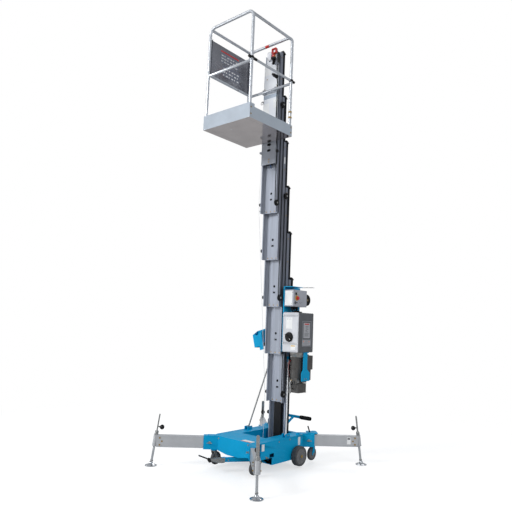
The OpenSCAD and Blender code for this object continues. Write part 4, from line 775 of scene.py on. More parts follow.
def chassis():
    # the up-facing floor of the open tray under the deck is painted black: painted shade for the shadow under the deck
    dress("chassis", "base", BLUE, [
        (BLACK_STEEL, lambda c, n: c.z < 130 and abs(c.x) < 294 and -164 < c.y < 179 and n.z > 0.5),
    ], bevel=1.6)
    # welds where the sockets meet the deck and panels
    k = Kit()
    for m in map(corner_matrix, CORNERS):
        for s in (-1, 1):
            for x0, x1, y, z, r in ((-732, -640, s * 39.5, 178.5, 2.6), (-560, -700, s * 39.3, 312.3, 2.2)):
                k.weld([m @ Vector((x0, y, z)), m @ Vector((x1, y, z))], r)
    for s in (-1, 1):
        k.weld([(s * 165, -108, 312.2), (s * 165, 360, 312.2)], 2.0)
        for x in (241, 281):
            k.weld([(s * x, 60, 312.2), (s * x, 140, 312.2)], 2.2)
    k.make("chassis_welds", "base")
    # folded rim along the deck's sides and front, and two round seats with their nuts at the back
    k = Kit()
    for s in (-1, 1):
        k.box((s * 294, -340, 311.5), (s * 300, 340, 314.0), BLUE)
        k.rod((s * 268, 298, 329), (s * 268, 298, 334), 15, BLUE, 32, 2)
        k.rod((s * 268, 298, 333), (s * 268, 298, 336), 7, ZINC, 6)
    k.box((-236, -420, 311.5), (236, -414, 314.0), BLUE)
    k.make("deck_rim", "base", bevel=0.8)
    # bare label plates: a white one with an orange band on the deck, white ones on the panels
    k = Kit()
    k.box((80, -395, 311.9), (215, -330, 312.7), PLATE)
    k.box((80, -395, 312.4), (215, -382, 313.0), ORANGE)
    k.box((299.8, -330, 235), (300.7, -290, 300), PLATE)
    k.box((299.8, 262, 215), (300.7, 300, 296), PLATE)
    k.box((-300.7, -330, 235), (-299.8, -290, 300), PLATE)
    k.make("chassis_labels", "base", bevel=0.25)
    # zinc and black fittings
    dress("chassis_fittings", "base", ZINC, [
        (PLASTIC, lambda c, n: c.z > 318 and c.y > 400),
        (BRASS, lambda c, n: abs(c.x) > 360 or (abs(c.x) > 299 and c.y < -200)),
    ], bevel=0.8)
    holes = (-262, 171), (-60, 292), (120, 292)
    screws("chassis_screws", "base", [((s * 300.3, y, z), s * X) for s in (-1, 1) for y, z in holes]
           + [((x, -420.3, 292), -Y) for x in (-200, 200)], 6, 4, 8.5, ZINC)
    # the valve block in the well, with a red boot, a black cap and its lead
    k = Kit()
    k.box((168, 60, 106), (246, 125, 150), BLACK_STEEL)
    k.rod((190, 92, 150), (190, 92, 176), 14, RED, 24, 3)
    k.rod((226, 92, 150), (226, 92, 168), 11, PLASTIC, 24, 2)
    k.pipe(smooth_path([(226, 92, 168), (230, 98, 200), (236, 122, 196), (240, 150, 150), (240, 160, 118)]), 6,
           RUBBER, 12)
    k.make("well_valve", "base", bevel=1.0)


def wheel(name, body, centre, d, w, hub, bore, tyre=TYRE, core=HUB):
    """A tyre with rounded shoulders and a middle seam, on a dished core with bosses."""
    k = Kit()
    r, h, large = d / 2, w / 2, d > 150
    rim = r - 22 if large else r - 17
    k.lathe(both_ways([(rim - 1, -h + 3.5), (rim + 3, -h + 0.6), (r - 9, -h), (r - 3.2, -h + 2.5), (r - 0.4, -h + 9),
                       (r - 0.1, -h + 16), (r - 0.1, -3.2), (r - 1.6, -2.2)]), centre, X, tyre, 72, True)
    k.lathe(both_ways([(bore, -h + 0.2), (hub / 2, -h + 0.2), (hub / 2 + 2, -h + 4), (hub / 2 + 5, -h + 6.5),
                       (rim - 8, -h + 7), (rim - 5, -h + 3), (rim - 0.5, -h + 2.6)]), centre, X, core, 60, True)
    for s in (-1, 1):
        k.studs(centre, (hub / 2 + rim) / 2, 5 if large else 3, "x", s * (h - 7.5), s * (h - 5.2),
                5.5 if large else 3.5, core, 16, 0.3, 0.8)
    k.make(name, body, body, 0.4)


def running_gear():
    for side, s in SIDES:
        wheel("rear_tyre_" + side, "rear_wheel_" + side, (s * 337, *REAR_AXLE), *REAR_WHEEL)
        k = Kit()
        k.rod((s * 368.5, *REAR_AXLE), (s * 371, *REAR_AXLE), 17, ZINC, 32, 0.6)
        k.prism([(11 * math.cos(math.radians(60 * a)), 11 * math.sin(math.radians(60 * a))) for a in range(6)], "x",
                min(s * 370, s * 376.5), max(s * 370, s * 376.5), BRASS, Matrix.Translation((0, *REAR_AXLE)))
        k.make("axle_nut_" + side, "base", bevel=0.6)
        # front caster
        inset = 631 / math.sqrt(2)
        x, y = s * (FOOT[0] - inset), -(FOOT[1] - inset)
        front, front_fork = (x, y + 30, 85), "front_caster_fork_" + side
        wheel("front_caster_tyre_" + side, "front_caster_wheel_" + side, front, *FRONT_CASTER)
        dress(front_fork, front_fork, ZINC, (), 0.8)
        k = Kit()
        k.lathe([(9, 0), (31, 0), (33, -2), (33, -7), (28, -9.4), (9, -9.4)], (x, y, 165.6), Z, ZINC, 40, True)
        k.make("front_swivel_race_" + side, "base", bevel=0.5)
        # rear caster
        rear = (s * (FOOT[0] - 591 / math.sqrt(2)), FOOT[1] - 431 / math.sqrt(2) - 30, 90)
        rear_fork = "rear_caster_fork_" + side
        wheel("rear_caster_tyre_" + side, "rear_caster_wheel_" + side, rear, *REAR_CASTER)
        dress(rear_fork, rear_fork, BLUE, [
            (ZINC, lambda c, n: c.z < 100 and abs(n.x) > 0.2 and abs(c.y - rear[1]) < 8)], 0.9)
        for name, fork, hub in (("caster", rear_fork, rear), ("front_caster", front_fork, front)):
            screws(name + "_axle_nuts_" + side, fork, [((hub[0] + t * 23.6, *hub[1:]), t * X) for t in (-1, 1)], 8, 5,
                   10, ZINC)
    # wheel brake pedal
    dress("brake_pedal", "brake_pedal", ZINC, [
        (PLASTIC, lambda c, n: (c - PEDAL_PIVOT).xy.dot(Vector((-0.5736, -0.8192))) > 174)], 0.8)
    k = Kit()
    m = Matrix.Translation(PEDAL_PIVOT) @ Matrix.Rotation(PEDAL_TURN, 4, "Z")
    path = [m @ Vector(p) for p in ((194, -6, 6), (215, -40, 8), (245, -85, 11), (270, -119, 14))]
    k.pipe(smooth_path(path, 5), 7.0, RUBBER, 14)
    k.ball(path[-1], 8.0, RUBBER, 16)
    a, b = m @ Vector((190, -22, 2)), m @ Vector((190, 58, 2))
    k.rod(a, b, 14.3, RUBBER, 28, 3)
    k.make("pedal_pad", "brake_pedal")
    repeat(RIBS, "pedal_ribs", "brake_pedal", [a.lerp(b, 0.08), a.lerp(b, 0.92)], (14.3, 1.0, 6.0),
           RUBBER)
    p, d = m @ Vector((50, 0, 0)), m.to_3x3() @ Y
    screws("pedal_pivot_screw", "brake_pedal", [(p + d * 23.5, d), (p - d * 23.5, -d)], 8, 5, 10, ZINC)


# ---- outriggers ----
def outrigger(c):
    """The beam, jack screw, foot and crank at one corner, and what holds the beam in its socket."""
    (sx, sy), m = CORNERS[c], corner_matrix(c)
    up = m @ Matrix.Rotation(-LEAN, 4, "Y")
    inv, foot, jack = m.inverted(), (m.translation.x, m.translation.y, 0), up.to_3x3() @ Z

    def spot(x, y, z):
        return m @ Vector((x, y, z))

    def along(x, y, z):
        return up @ Vector((x, y, z))

    def across(t):
        return m.to_3x3() @ (t * Y)

    dress("outrigger_" + c, "outrigger_" + c, BRIGHT, [
        (BRASS, lambda q, n: abs((inv @ q).y) > 30.2 and (inv @ q).x < -60),
    ], 0.9)
    # collars round the jack sleeve, and the welds of the end plate
    k = Kit()
    k.lathe([(12.4, -3), (25.6, -3), (26.4, -2), (26.4, 5), (25.0, 6), (12.4, 6)], along(0, 0, 200), jack, BRIGHT, 40,
            True)
    k.lathe([(12.4, -4), (25.4, -4), (26.2, -3), (26.2, 0.5), (25.0, 1), (12.4, 1)], along(0, 0, 307), jack, BRIGHT,
            40, True)
    for s in (-1, 1):
        k.weld([spot(-45, s * 28, 192), spot(-45, s * 28, 298)], 2.4, BRIGHT)
    k.make("jack_collar_" + c, "outrigger_" + c, bevel=0.4)
    # pale label without any lettering on the beam
    k = Kit()
    y = -sx * sy * 30.0
    k.prism([(-165, 213), (-125, 213), (-125, 285), (-165, 285)], "y", y - 0.35, y + 0.35, PLATE, m)
    y = -sx * sy * 30.4
    k.prism([(-160, 262), (-130, 262), (-130, 279), (-160, 279)], "y", y - 0.3, y + 0.3, CASE_DARK, m)
    k.make("beam_label_" + c, "outrigger_" + c, bevel=0.15)
    places = []
    for t in (-1, 1):
        places += [(spot(-78, t * 35.2, 245 + h), across(t)) for h in (-34, 34)]
        places.append((spot(-100, t * 30.4, 245), across(t)))
    screws("beam_screws_" + c, "outrigger_" + c, places, 6.5, 4, 8.5)
    # foot: spun disc with a rolled rim, ball joint and boot
    k = Kit()
    k.lathe([(0, 0.2), (55, 0.2), (59, 1.2), (59.8, 3.8), (59.0, 6.6), (55.5, 7.8), (50, 7.2), (44, 8.4), (36, 13),
             (28, 18), (22, 21.6), (19.6, 24), (19.4, 28), (17.6, 33), (14, 37.4), (12.6, 39), (12.4, 44), (0, 44)],
            foot, Z, CHROME, 64)
    k.lathe([(0, 30), (11.95, 30), (11.95, 188), (0, 188)], foot, jack, CHROME, 36)
    k.lathe([(11.5, 44), (14.6, 45), (15, 47), (15, 56), (14.2, 58), (11.5, 59)], foot, jack, ZINC, 36, True)
    k.lathe([(0, 186), (11.95, 186), (11.95, 309.8), (6.9, 309.9), (6.9, 339), (6, 340), (0, 340)], foot, jack, ZINC,
            32)
    k.make("jack_foot_" + c, "jack_leg_" + c, "jack_leg_" + c)
    # crank: flat bar with a rounded end on a turned hub, and its ball knob
    k = Kit()
    k.lathe([(7.2, 310.8), (17.5, 310.8), (19, 312.4), (19, 336), (17, 344), (15.5, 347), (7.2, 347)], foot, jack,
            ZINC, 40, True)
    tip = [(15 * math.cos(math.radians(a)), 499 + 15 * math.sin(math.radians(a))) for a in range(0, 181, 15)]
    k.prism([(-15, 340), (15, 340)] + tip, "x", -6, 6, ZINC, up)
    k.rod(along(-28, 0, 388), along(5, 0, 388), 6, ZINC, 24, 1)
    k.lathe([(0, -46), (9, -45), (18, -40), (23.4, -32), (24.8, -24), (23.6, -15), (19, -8), (12, -3.5), (9.5, -1),
             (9.5, 3), (0, 3)], along(-22, 0, 388), up.to_3x3() @ X, GLOSS_BLACK, 40)
    k.make("jack_handle_" + c, "jack_crank_" + c, "jack_crank_" + c, 0.9)
    # locking T-handle in the side of the socket
    k = Kit()
    y = -sx * 61
    k.rod(spot(-582, -sx * 39, 245), spot(-582, -sx * 44, 245), 13, ZINC, 28, 1)
    k.rod(spot(-604, y, 245), spot(-560, y, 245), 4.2, ZINC, 16, 1.5)
    for x in (-604, -560):
        k.ball(spot(x, y, 245), 5.4, ZINC, 14)
    k.make("socket_t_handle_" + c, "base")
    # dark nylon guide pads at the mouth of the socket
    k = Kit()
    for t in (-1, 1):
        k.box((-521.5, t * 30.6, 205), (-519.2, t * 33, 285), PLASTIC)
    for v in k.bm.verts:
        v.co = m @ v.co
    k.make("socket_pads_" + c, "base", bevel=0.3)


# ---- braces, handle and stowage holder ----
def handle_and_braces():
    """The two mast braces, the handle with its ribbed grips, and the stowage holder."""
    dress("mast_braces", "base", BRIGHT, [
        (BLUE, lambda c, n: (c.z > 1060 and abs(c.x) < 120.3) or c.z > 1150),
        (ZINC, lambda c, n: c.x < 0)], 0.8)
    dress("push_handle", "base", BLUE, [(RUBBER, lambda c, n: abs(c.x) > 165.2)], 0.8)
    for side, s in SIDES:
        repeat(RIBS, "grip_ribs_" + side, "base", [(s * 178, *HANDLE), (s * 286, *HANDLE)],
               (20.0, 1.7, 7.2), RUBBER)
        k = Kit()
        k.lathe([(14, 0), (17.5, 0.8), (18, 4), (17.5, 8), (14, 9)], (s * 156, *HANDLE), s * X, BLUE, 32, True)
        k.lathe([(10, 0), (19, 0), (20.6, 2), (20.6, 6), (19, 7.6), (10, 7.6)], (s * 292, *HANDLE), s * X, RUBBER,
                36, True)
        k.weld(arc((s * 70, 458, 447), 14.5, 0, 360, 20, "y"), 2.0)
        k.make("handle_collar_" + side, "base")
    screws("handle_screws", "base", [((s * 82, 361.4, z), Y) for s in (-1, 1) for z in (345, 425)], 7, 5, 10, ZINC)
    dress("stowage_holder", "base", BLUE, (), 1.6)
    screws("holder_screws", "base", [((x, 271.6, z), -Y) for x, z in ((-140, 1255), (-140, 1285), (-185, 1270))], 7,
           5, 9, BRASS)


# ---- equipment on the right of the mast ----
def unit_bracket():
    dress("unit_bracket", "base", BLUE, [
        (ZINC, lambda c, n: (c.z > 1845 and c.x < 149.8) or (c.y > 301 and c.z > 1873)
         or (c.x > 155.5 and c.y > 470 and c.z < 1760) or (c.x < 149.6 and c.y > 470))], 0.9)
    holes = ((140, 1625), (140, 1860), (300, 1640), (300, 1860), (395, 1640), (395, 1860), (395, 1205), (395, 1560),
             (380, 1150))
    screws("bracket_screws", "base", [((155.4, y, z), X) for y, z in holes]
           + [((343.4, y, 900), X) for y in (285, 320)], 5.5, 4, 7.5, ZINC)


def power_case():
    """The dark case with its pale lid, bare plates, framed side door and isolator dial."""
    # pressed rims of the lid, and its hinges
    dress("power_case", "base", CASE_DARK, [
        (CASE_DARK, lambda c, n: c.y < 127.5 and c.y > 124.2 and abs(n.y) < 0.2 and 157 < c.x < 363
         and 1184 < c.z < 1596),
        (CASE, lambda c, n: c.y < 140.2)], 2.2)
    k = Kit()
    for z0, z1 in ((1184, 1266), (1274, 1560), (1568, 1597)):
        rim = [(161, z0 + 3), (359, z0 + 3), (359, z1 - 3), (161, z1 - 3)]
        k.pipe([(x, 123.6, z) for x, z in rim] + [(161, 123.6, z0 + 3)], 1.3, CASE_MID, 8, False)
    for z in (1552, 1258):
        k.box((158, 121.6, z), (172, 124.4, z + 24), ZINC)
    k.make("case_lid_rims", "base", bevel=0.4)
    k = Kit()
    k.box((200, 122.9, 1425), (282, 124.3, 1545), PLATE)
    for x in (216, 238, 262):
        k.rod((x, 122.9, 1528), (x, 122.4, 1528), 4, CASE_DARK, 16)
    k.box((268, 122.9, 1205), (330, 124.3, 1256), PLATE)
    k.box((272, 122.4, 1241), (326, 123.4, 1252), YELLOW)
    k.make("case_plates", "base", bevel=0.3)
    # framed door on the side, all plates left plain
    k = Kit()
    for lo, hi in (((190, 1244), (198, 1514)), ((347, 1244), (355, 1514)), ((198, 1506), (347, 1514)),
                   ((198, 1244), (347, 1252)), ((198, 1312), (347, 1320))):
        k.box((364.6, lo[0], lo[1]), (368.0, hi[0], hi[1]), CASE_MID)
    k.box((364.8, 198, 1320), (366.0, 347, 1506), CASE_DARK)
    k.box((365.8, 214, 1332), (366.8, 331, 1494), LABEL)
    k.box((366.6, 230, 1474), (367.2, 314, 1486), RED)
    for z, y0, y1 in ((1452, 250, 296), (1438, 258, 286), (1424, 262, 300), (1410, 250, 278), (1396, 256, 292),
                      (1376, 230, 316), (1364, 230, 300), (1352, 230, 310)):
        k.box((366.6, y0, z), (367.0, y1, z + 5), CASE_DARK)
    k.box((364.8, 200, 1254), (366.2, 345, 1310), LABEL)
    for y in (222, 318):
        k.rod((366.2, y, 1296), (366.9, y, 1296), 6.5, ORANGE, 20)
    for z, y0, y1 in ((1292, 240, 300), (1278, 214, 332), (1266, 214, 318)):
        k.box((366.0, y0, z), (366.6, y1, z + 6), CASE_MID)
    k.make("case_side_door", "base", bevel=0.4)
    # isolator dial: fluted disc with a raised grip
    k = Kit()
    dx, y0, dz = DIAL
    k.lathe([(0, 0), (50.5, 0), (51.9, 1.5), (51.9, 6), (49.5, 8), (48, 10), (45, 16), (40, 17.6), (0, 17.6)],
            DIAL, -Y, PLASTIC, 72)
    turn = Matrix.Translation((dx, 0, dz)) @ Matrix.Rotation(math.radians(40), 4, "Y")
    k.prism([(-45, -5), (-38, -9), (38, -9), (45, -5), (45, 5), (38, 9), (-38, 9), (-45, 5)], "y", y0 - 29.3, y0 - 16,
            PLASTIC, turn)
    k.prism([(28, -2), (42, -2), (42, 2), (28, 2)], "y", y0 - 29.7, y0 - 29, PLATE, turn)
    k.studs(DIAL, 51, 24, "y", -1, -7, 1.6, PLASTIC, 8)
    k.rod((dx, 123.6, dz), (dx, 135, dz), 7, ZINC, 24)
    k.make("isolator_dial", "case_dial", "case_dial", 0.9)


def ground_controls():
    """The control box with its stop button, key switch, toggle and leads."""
    face, key_y, key_z = KEY_SWITCH
    dress("control_box", "base", BOX, [
        (PLATE, lambda c, n: c.y < 130.8 and c.z > 1665),
        (YELLOW, lambda c, n: c.x > 282.2),
        (PLASTIC, lambda c, n: c.z < 1663.8)], 1.6)
    k = Kit()
    k.box((160, 130.2, 1668), (277, 133.5, 1841), BOX)
    for z in (1690, 1810):
        k.box((262, 127.5, z), (279, 132, z + 10), ZINC)
    k.lathe([(6.5, 0), (17, 0), (17, 2), (15, 3.2), (6.5, 3.2)], KEY_SWITCH, X, ZINC, 32, True)
    k.lathe([(11.5, 0), (15, 0), (15, 2), (13, 4), (11.5, 4)], TOGGLE, X, PLASTIC, 32, True)
    k.lathe([(0, 0), (3, 0), (3, 1.4), (0, 1.4)], (face, 262, 1745), X, CASE_DARK, 14)
    for y, z in ((246, 1712), (274, 1712), (260, 1700), (216, 1748)):
        k.rod((face, y, z), (face + 1.6, y, z), 3.2, CASE_DARK, 12)
    k.box((155.5, 372, 1690), (262, 376, 1820), BOX)
    k.make("control_box_trim", "base", bevel=0.5)
    screws("control_box_screws", "base", [((282.3, y, z), X) for y in (142, 363) for z in (1676, 1833)], 3.6, 2.4, 5,
           ZINC)
    k = Kit()
    k.lathe([(0, 26), (12, 26), (17, 24.6), (19.6, 21), (20, 16), (19.6, 11), (17, 10.2), (9, 10.2), (6, 8),
             (6, -13.8), (0, -13.8)], STOP_BUTTON, X, RED, 40)
    k.make("ground_stop_cap", "ground_stop_button", "ground_stop_button")
    k = Kit()
    k.lathe([(0, 10), (12, 10), (13.8, 8.4), (13.8, 3.6), (6, 3.6), (6, -19.8), (0, -19.8)], KEY_SWITCH, X,
            GLOSS_BLACK, 32)
    k.box((face + 9, key_y - 3, key_z - 11.5), (face + 27, key_y + 3, key_z + 11.5), ZINC)
    k.rod((face + 24, key_y - 3.6, key_z), (face + 24, key_y + 3.6, key_z), 9.8, ZINC, 28, 0.6)
    k.make("ground_key", "ground_key_switch", "ground_key_switch", 0.5)
    k = Kit()
    bat = [(face + x, *TOGGLE[1:]) for x in (-8, 8, 24)]
    k.ball(bat[0], 5.7, ZINC, 20)
    k.pipe(bat, [2.9, 2.9, 4.6], CHROME, 18)
    k.ball(bat[-1], 5.9, PLASTIC, 20)
    k.make("ground_toggle_bat", "ground_toggle", "ground_toggle")
    # glands and leads from the box down behind the case
    k = Kit()
    for i, y in enumerate((200, 240, 285)):
        k.lathe([(0, 0), (13.4, 0), (14.6, -3), (14.6, -14), (12, -17), (9, -26), (6, -29), (0, -29)], (215, y, 1664),
                Z, PLASTIC, 24)
        k.pipe(smooth_path([(215, y, 1640), (215, y + 2, 1622), (222 + 6 * i, y + 20, 1608),
                            (226 + 6 * i, y + 52, 1606), (200, 396, 1612), (180, 404, 1590)]), 5, RUBBER, 12)
    k.rod((205, 262, 1601), (262, 262, 1601), 24, PLASTIC, 36, 5)
    k.rod((255, 262, 1601), (270, 262, 1601), 17, BLACK_STEEL, 30, 3)
    k.make("box_glands", "base")


def loading_wheel():
    """The loading wheel on its bracket, its bush, and the guide rod."""
    wheel("loading_tyre", "loading_wheel", (193, 485, 1750), *LOADING_WHEEL, RUBBER, PLASTIC)
    k = Kit()
    k.rod((212.5, 485, 1750), (216.5, 485, 1750), 13, BRASS, 28, 1)
    k.rod((216, 485, 1750), (217, 485, 1750), 7, ZINC, 6)
    k.make("loading_wheel_bush", "base")
    k = Kit()
    k.pipe(smooth_path([(270, 294, 1877), (271, 330, 1880), (274, 430, 1888), (276, 518, 1894.5)], 6), 4.2, BRIGHT, 14)
    k.ball((276, 518, 1894.5), 4.4, BRIGHT, 14)
    k.make("guide_rod", "base")


def power_unit():
    dress("power_unit", "base", UNIT, [
        (BOWL, lambda c, n: c.z > 1104 and (Vector((c.x, c.y)) - Vector(BOWL_CENTRE)).length < 85
         and not (c.z < 1123 and n.z < -0.9)),
        (ZINC, lambda c, n: c.z < 846 and c.y < 229 and c.x < 216)], 1.2)
    k = Kit()
    for z in (920, 1000, 1080):
        k.lathe([(57, -4), (60.5, -3), (60.5, 3), (57, 4)], (*MOTOR, z), Z, UNIT, 56, True)
    k.studs((*MOTOR, 0), 52, 8, "z", 903, 912, 4, ZINC, 10, math.radians(20))
    k.lathe([(78, 0), (86, 0), (87.5, -2), (87.5, -5), (86, -7), (78, -7)], (*BOWL_CENTRE, 1179.8), Z, BOWL, 64, True)
    k.make("motor_bands", "base")
    k = Kit()
    k.lathe([(0, 0), (16, 0), (17, 2), (17, 10), (13, 13), (0, 13)], (270, 430, 1139), Z, PLASTIC, 28)
    for z in (752, 842):
        k.pipe([(203.5, 231.5, z), (304.5, 231.5, z), (304.5, 378.5, z), (203.5, 378.5, z), (203.5, 231.5, z)], 2.2,
               UNIT, 8, False)
    k.box((286, 214, 858), (300, 250, 892), ZINC)
    k.rod((293, 232, 875), (310, 232, 875), 9, ZINC, 6)
    k.rod((262, 208, 870), (262, 198, 870), 8, ZINC, 6)
    k.rod((230, 208, 880), (230, 199, 880), 7, BRASS, 6)
    for z in (742, 828):
        k.lathe([(4, 0), (11.4, 0), (12, 2), (12, 14), (11.4, 16), (4, 16)], (203, 218, z), Z, ZINC, 24, True)
    k.make("pump_fittings", "base", bevel=0.5)
    k = Kit()
    for r, paint, seg, path in (
            (4.6, COPPER, 12, [(212, 214, 1090), (196, 208, 1062), (188, 210, 1010), (192, 212, 950),
                               (206, 212, 905)]),
            (4.4, RUBBER, 12, [(222, 208, 1096), (204, 198, 1050), (200, 198, 985), (205, 204, 930), (214, 208, 892)]),
            (5.0, RUBBER, 12, [(262, 200, 870), (262, 188, 862), (252, 186, 830), (246, 192, 800), (240, 228, 790)]),
            (3.2, BRIGHT, 10, [(230, 200, 880), (226, 190, 860), (222, 192, 820), (206, 206, 800)])):
        k.pipe(smooth_path(path), r, paint, seg)
    k.make("motor_leads", "base")


def lift_cylinder():
    dress("lift_cylinder", "base", BLACK_STEEL, (), 0.6)
    dress("cylinder_rod", "cylinder_rod", CHROME, [(ZINC, lambda c, n: c.z > 1276)], 0.5)
    k = Kit()
    for z in (300, 520, 740):
        for x in (-36, 36):
            k.rod((x, 274.6, z), (x, 272.6, z), 4, BLACK_STEEL, 12, 0.6)
    k.make("guard_studs", "base")


# ---- platform ----
def carriage():
    dress("carriage", "platform", CARRIAGE, [
        (BLACK_STEEL, lambda c, n: (c.x > 106 or c.x < -106) and c.z < 3420)], 0.9)
    k = Kit()
    for s in (-1, 1):
        k.box((s * 98 - 2, -38.6, CARRIAGE_Z + 2), (s * 98 + 2, -36.8, 4428), MAST)
    # pale sheet on the face above the floor, with its two folded ribs in a darker grey-blue as painted shade of the
    # folds, bare plates, and plugs in the openings below
    k.box((-104, -38.2, FLOOR_Z + 128), (104, -36.9, 4429), WHITE_SHEET)
    for z in (3700, 4035):
        k.box((-104, -39.4, z - 22), (104, -38.0, z + 22), RIB_PAINTED_SHADE)
    k.box((44, -38.9, 3885), (98, -38.0, 3985), PLATE)
    k.box((-98, -38.9, 3840), (-20, -38.0, 3960), PLATE)
    k.box((-100, -38.9, 4300), (-8, -38.0, 4415), PLATE)
    k.box((-74, -38.2, 4431), (40, -36.9, 4578), WHITE_SHEET)
    k.rod((0, -37.2, 3343), (0, -31.5, 3343), 12.9, CARRIAGE, 28, 0.5)
    k.box((-15.9, -37.2, 3417.1), (15.9, -31.5, 3428.9), CARRIAGE)
    for z, h in ((3399, 14), (3464, 16)):
        k.box((-12, -38.0, z - h), (12, -36.8, z + h), PLASTIC)
        for x in (-12, 12):
            k.rod((x, -38.0, z), (x, -36.8, z), h, PLASTIC, 32)
    k.make("carriage_ribs", "platform", bevel=0.3)
    screws("carriage_screws", "platform", [((x, -37.4, z), -Y) for x in (-88, 88) for z in (4078, 4135)]
           + [((6, -37.4, CARRIAGE_Z + h), -Y) for h in (26, 56)]
           + [((x, -37.4, z), -Y) for x in (-60, 60) for z in (4250, 4500)], 5.5, 4, 8)
    # blue strap end that hangs below the carriage
    k = Kit()
    k.prism([(10, CARRIAGE_Z + 2), (24, CARRIAGE_Z + 2), (36, CARRIAGE_Z - 34), (40, CARRIAGE_Z - 52),
             (30, CARRIAGE_Z - 54), (22, CARRIAGE_Z - 30)], "y", -27, -24, STRAP)
    k.box((-40, -30, CARRIAGE_Z - 6), (46, -8, CARRIAGE_Z + 4), BLACK_STEEL)
    k.make("carriage_strap", "platform", bevel=0.5)
    # lanyard ring
    k = Kit()
    k.pipe(arc((-119, -46, 3975), 16, 0, 360, 28, "y"), 3.2, ZINC, 12, False)
    k.box((-124, -50, 3988), (-104, -36, 3996), ZINC)
    k.make("lanyard_ring", "platform", bevel=0.4)


def platform_floor():
    dress("platform_floor", "platform", PAN, [
        (PAN_UNDER, lambda c, n: n.z < -0.5 and c.z < FLOOR_Z + 2)], 1.2)
    # tread studs over the floor, folds and drain slots of the pan, and the corner weld seams
    pts, aims = [], []
    for a in range(-14, 15):
        for b in range(0, 31):
            x, y = a * 21.5, -728 + b * 22.0
            if abs(abs(x) - 200) < 26 or abs(x) < 26 or y > -62 or y < -732:
                continue
            pts.append((x, y, FLOOR_Z + 3.1))
            aims.append((0, 0, math.radians(45 if (a + b) % 2 else -45)))
    repeat(STUDS, "tread_studs", "platform", pts, (17.0, 5.0, 2.4), PAN, aims, 60)
    k = Kit()
    for s in (-1, 1):
        k.box((s * 330 - 2.2, -741, FLOOR_Z + 120), (s * 330 - 0.2, -672, FLOOR_Z + 154.6), PAN)
        k.box((s * 329.6 - 0.5, -741.6, FLOOR_Z + 1), (s * 329.6 + 0.4, -740.4, FLOOR_Z + 154), PAN)
        k.weld([(s * 329.4, -741.4, FLOOR_Z + 2), (s * 329.4, -741.4, FLOOR_Z + 150)], 1.0, PAN)
        k.box((s * 270 - 8, -740, FLOOR_Z - 0.4), (s * 270 + 8, -54, FLOOR_Z + 0.1), PAN_UNDER)
    k.box((-328, -741.8, FLOOR_Z + 150), (328, -738.5, FLOOR_Z + 155), PAN)
    k.make("pan_folds", "platform", bevel=0.5)
    screws("pan_screws", "platform", [((s * 330.2, y, FLOOR_Z + h), s * X) for s in (-1, 1)
                                      for y, h in ((-723, 40), (-723, 110), (-71, 40), (-71, 100))]
           + [((x, -55.2, FLOOR_Z + 70), -Y) for x in (-92, 92)], 5.5, 4, 8)


def guard_rails():
    """The rails with brass fittings on the rear right post, weld collars, and the sliding entry rail."""
    dress("guard_rails", "platform", RAIL, [
        (BRASS, lambda c, n: c.x > 288 and c.y > -100 and any(z - 8 < c.z < z + 10 for z in POST_SCREWS)
         and (Vector((c.x, c.y)) - Vector((POST_X, POST_REAR))).length > 16.4)], 0.0)
    k = Kit()

    def collar(x, y, z, axis, r):
        k.lathe([(r - 2.5, -3.0), (r, -2.4), (r + 0.9, 0), (r, 2.4), (r - 2.5, 3.0)], (x, y, z), axis, RAIL, 28, True)

    for sx in (-1, 1):
        collar(sx * 295.6, POST_FRONT, MID_RAIL - 15, X, 14)
        collar(sx * 295.6, POST_REAR, MID_RAIL - 22, X, 14)
        for y, z in ((POST_FRONT + 15, TOP_RAIL - 20.5), (POST_REAR - 15, TOP_RAIL - 20.5)):
            collar(sx * 290.5, y, z, Y, 15)
    for y in (POST_FRONT + 15.5, POST_REAR - 15.5):
        collar(-POST_X, y, MID_RAIL, Y, 14)
    for x in (-POST_X, POST_X):
        for y in (POST_FRONT, POST_REAR):
            k.lathe([(15.5, 0), (21, 0), (21, 3.5), (17.5, 5.5), (15.5, 5.5)], (x, y, FLOOR_Z + 3), Z, RAIL, 32, True)
    k.make("rail_welds", "platform")
    k = Kit()
    k.pipe([(-72, POST_REAR, TOP_RAIL - 0.5), (-18, POST_REAR, TOP_RAIL - 0.5)], 16.5, RED, 36)
    k.make("rail_red_mark", "platform", bevel=0.4)
    # two screws in the rear right post
    for z in POST_SCREWS:
        screws("post_screw_%d" % z, "platform", [((POST_X, POST_REAR - 20.4, z), -Y)], 5, 5, 6.5)
    # sliding entry rail with black bushes at both ends
    dress("entry_rail", "entry_rail", RAIL, [
        (PLASTIC, lambda c, n: c.y < -655 or c.y > -100)], 0.6)
    k = Kit()
    for y0, y1 in ((-768.5, -742), (-702, -650), (-97, -92), (-48, -14.5)):
        k.rod((POST_X, y0, MID_RAIL + 10), (POST_X, y1, MID_RAIL + 10), 14.2, PLASTIC, 32, 1.5)
    k.make("entry_bushes", "entry_rail")


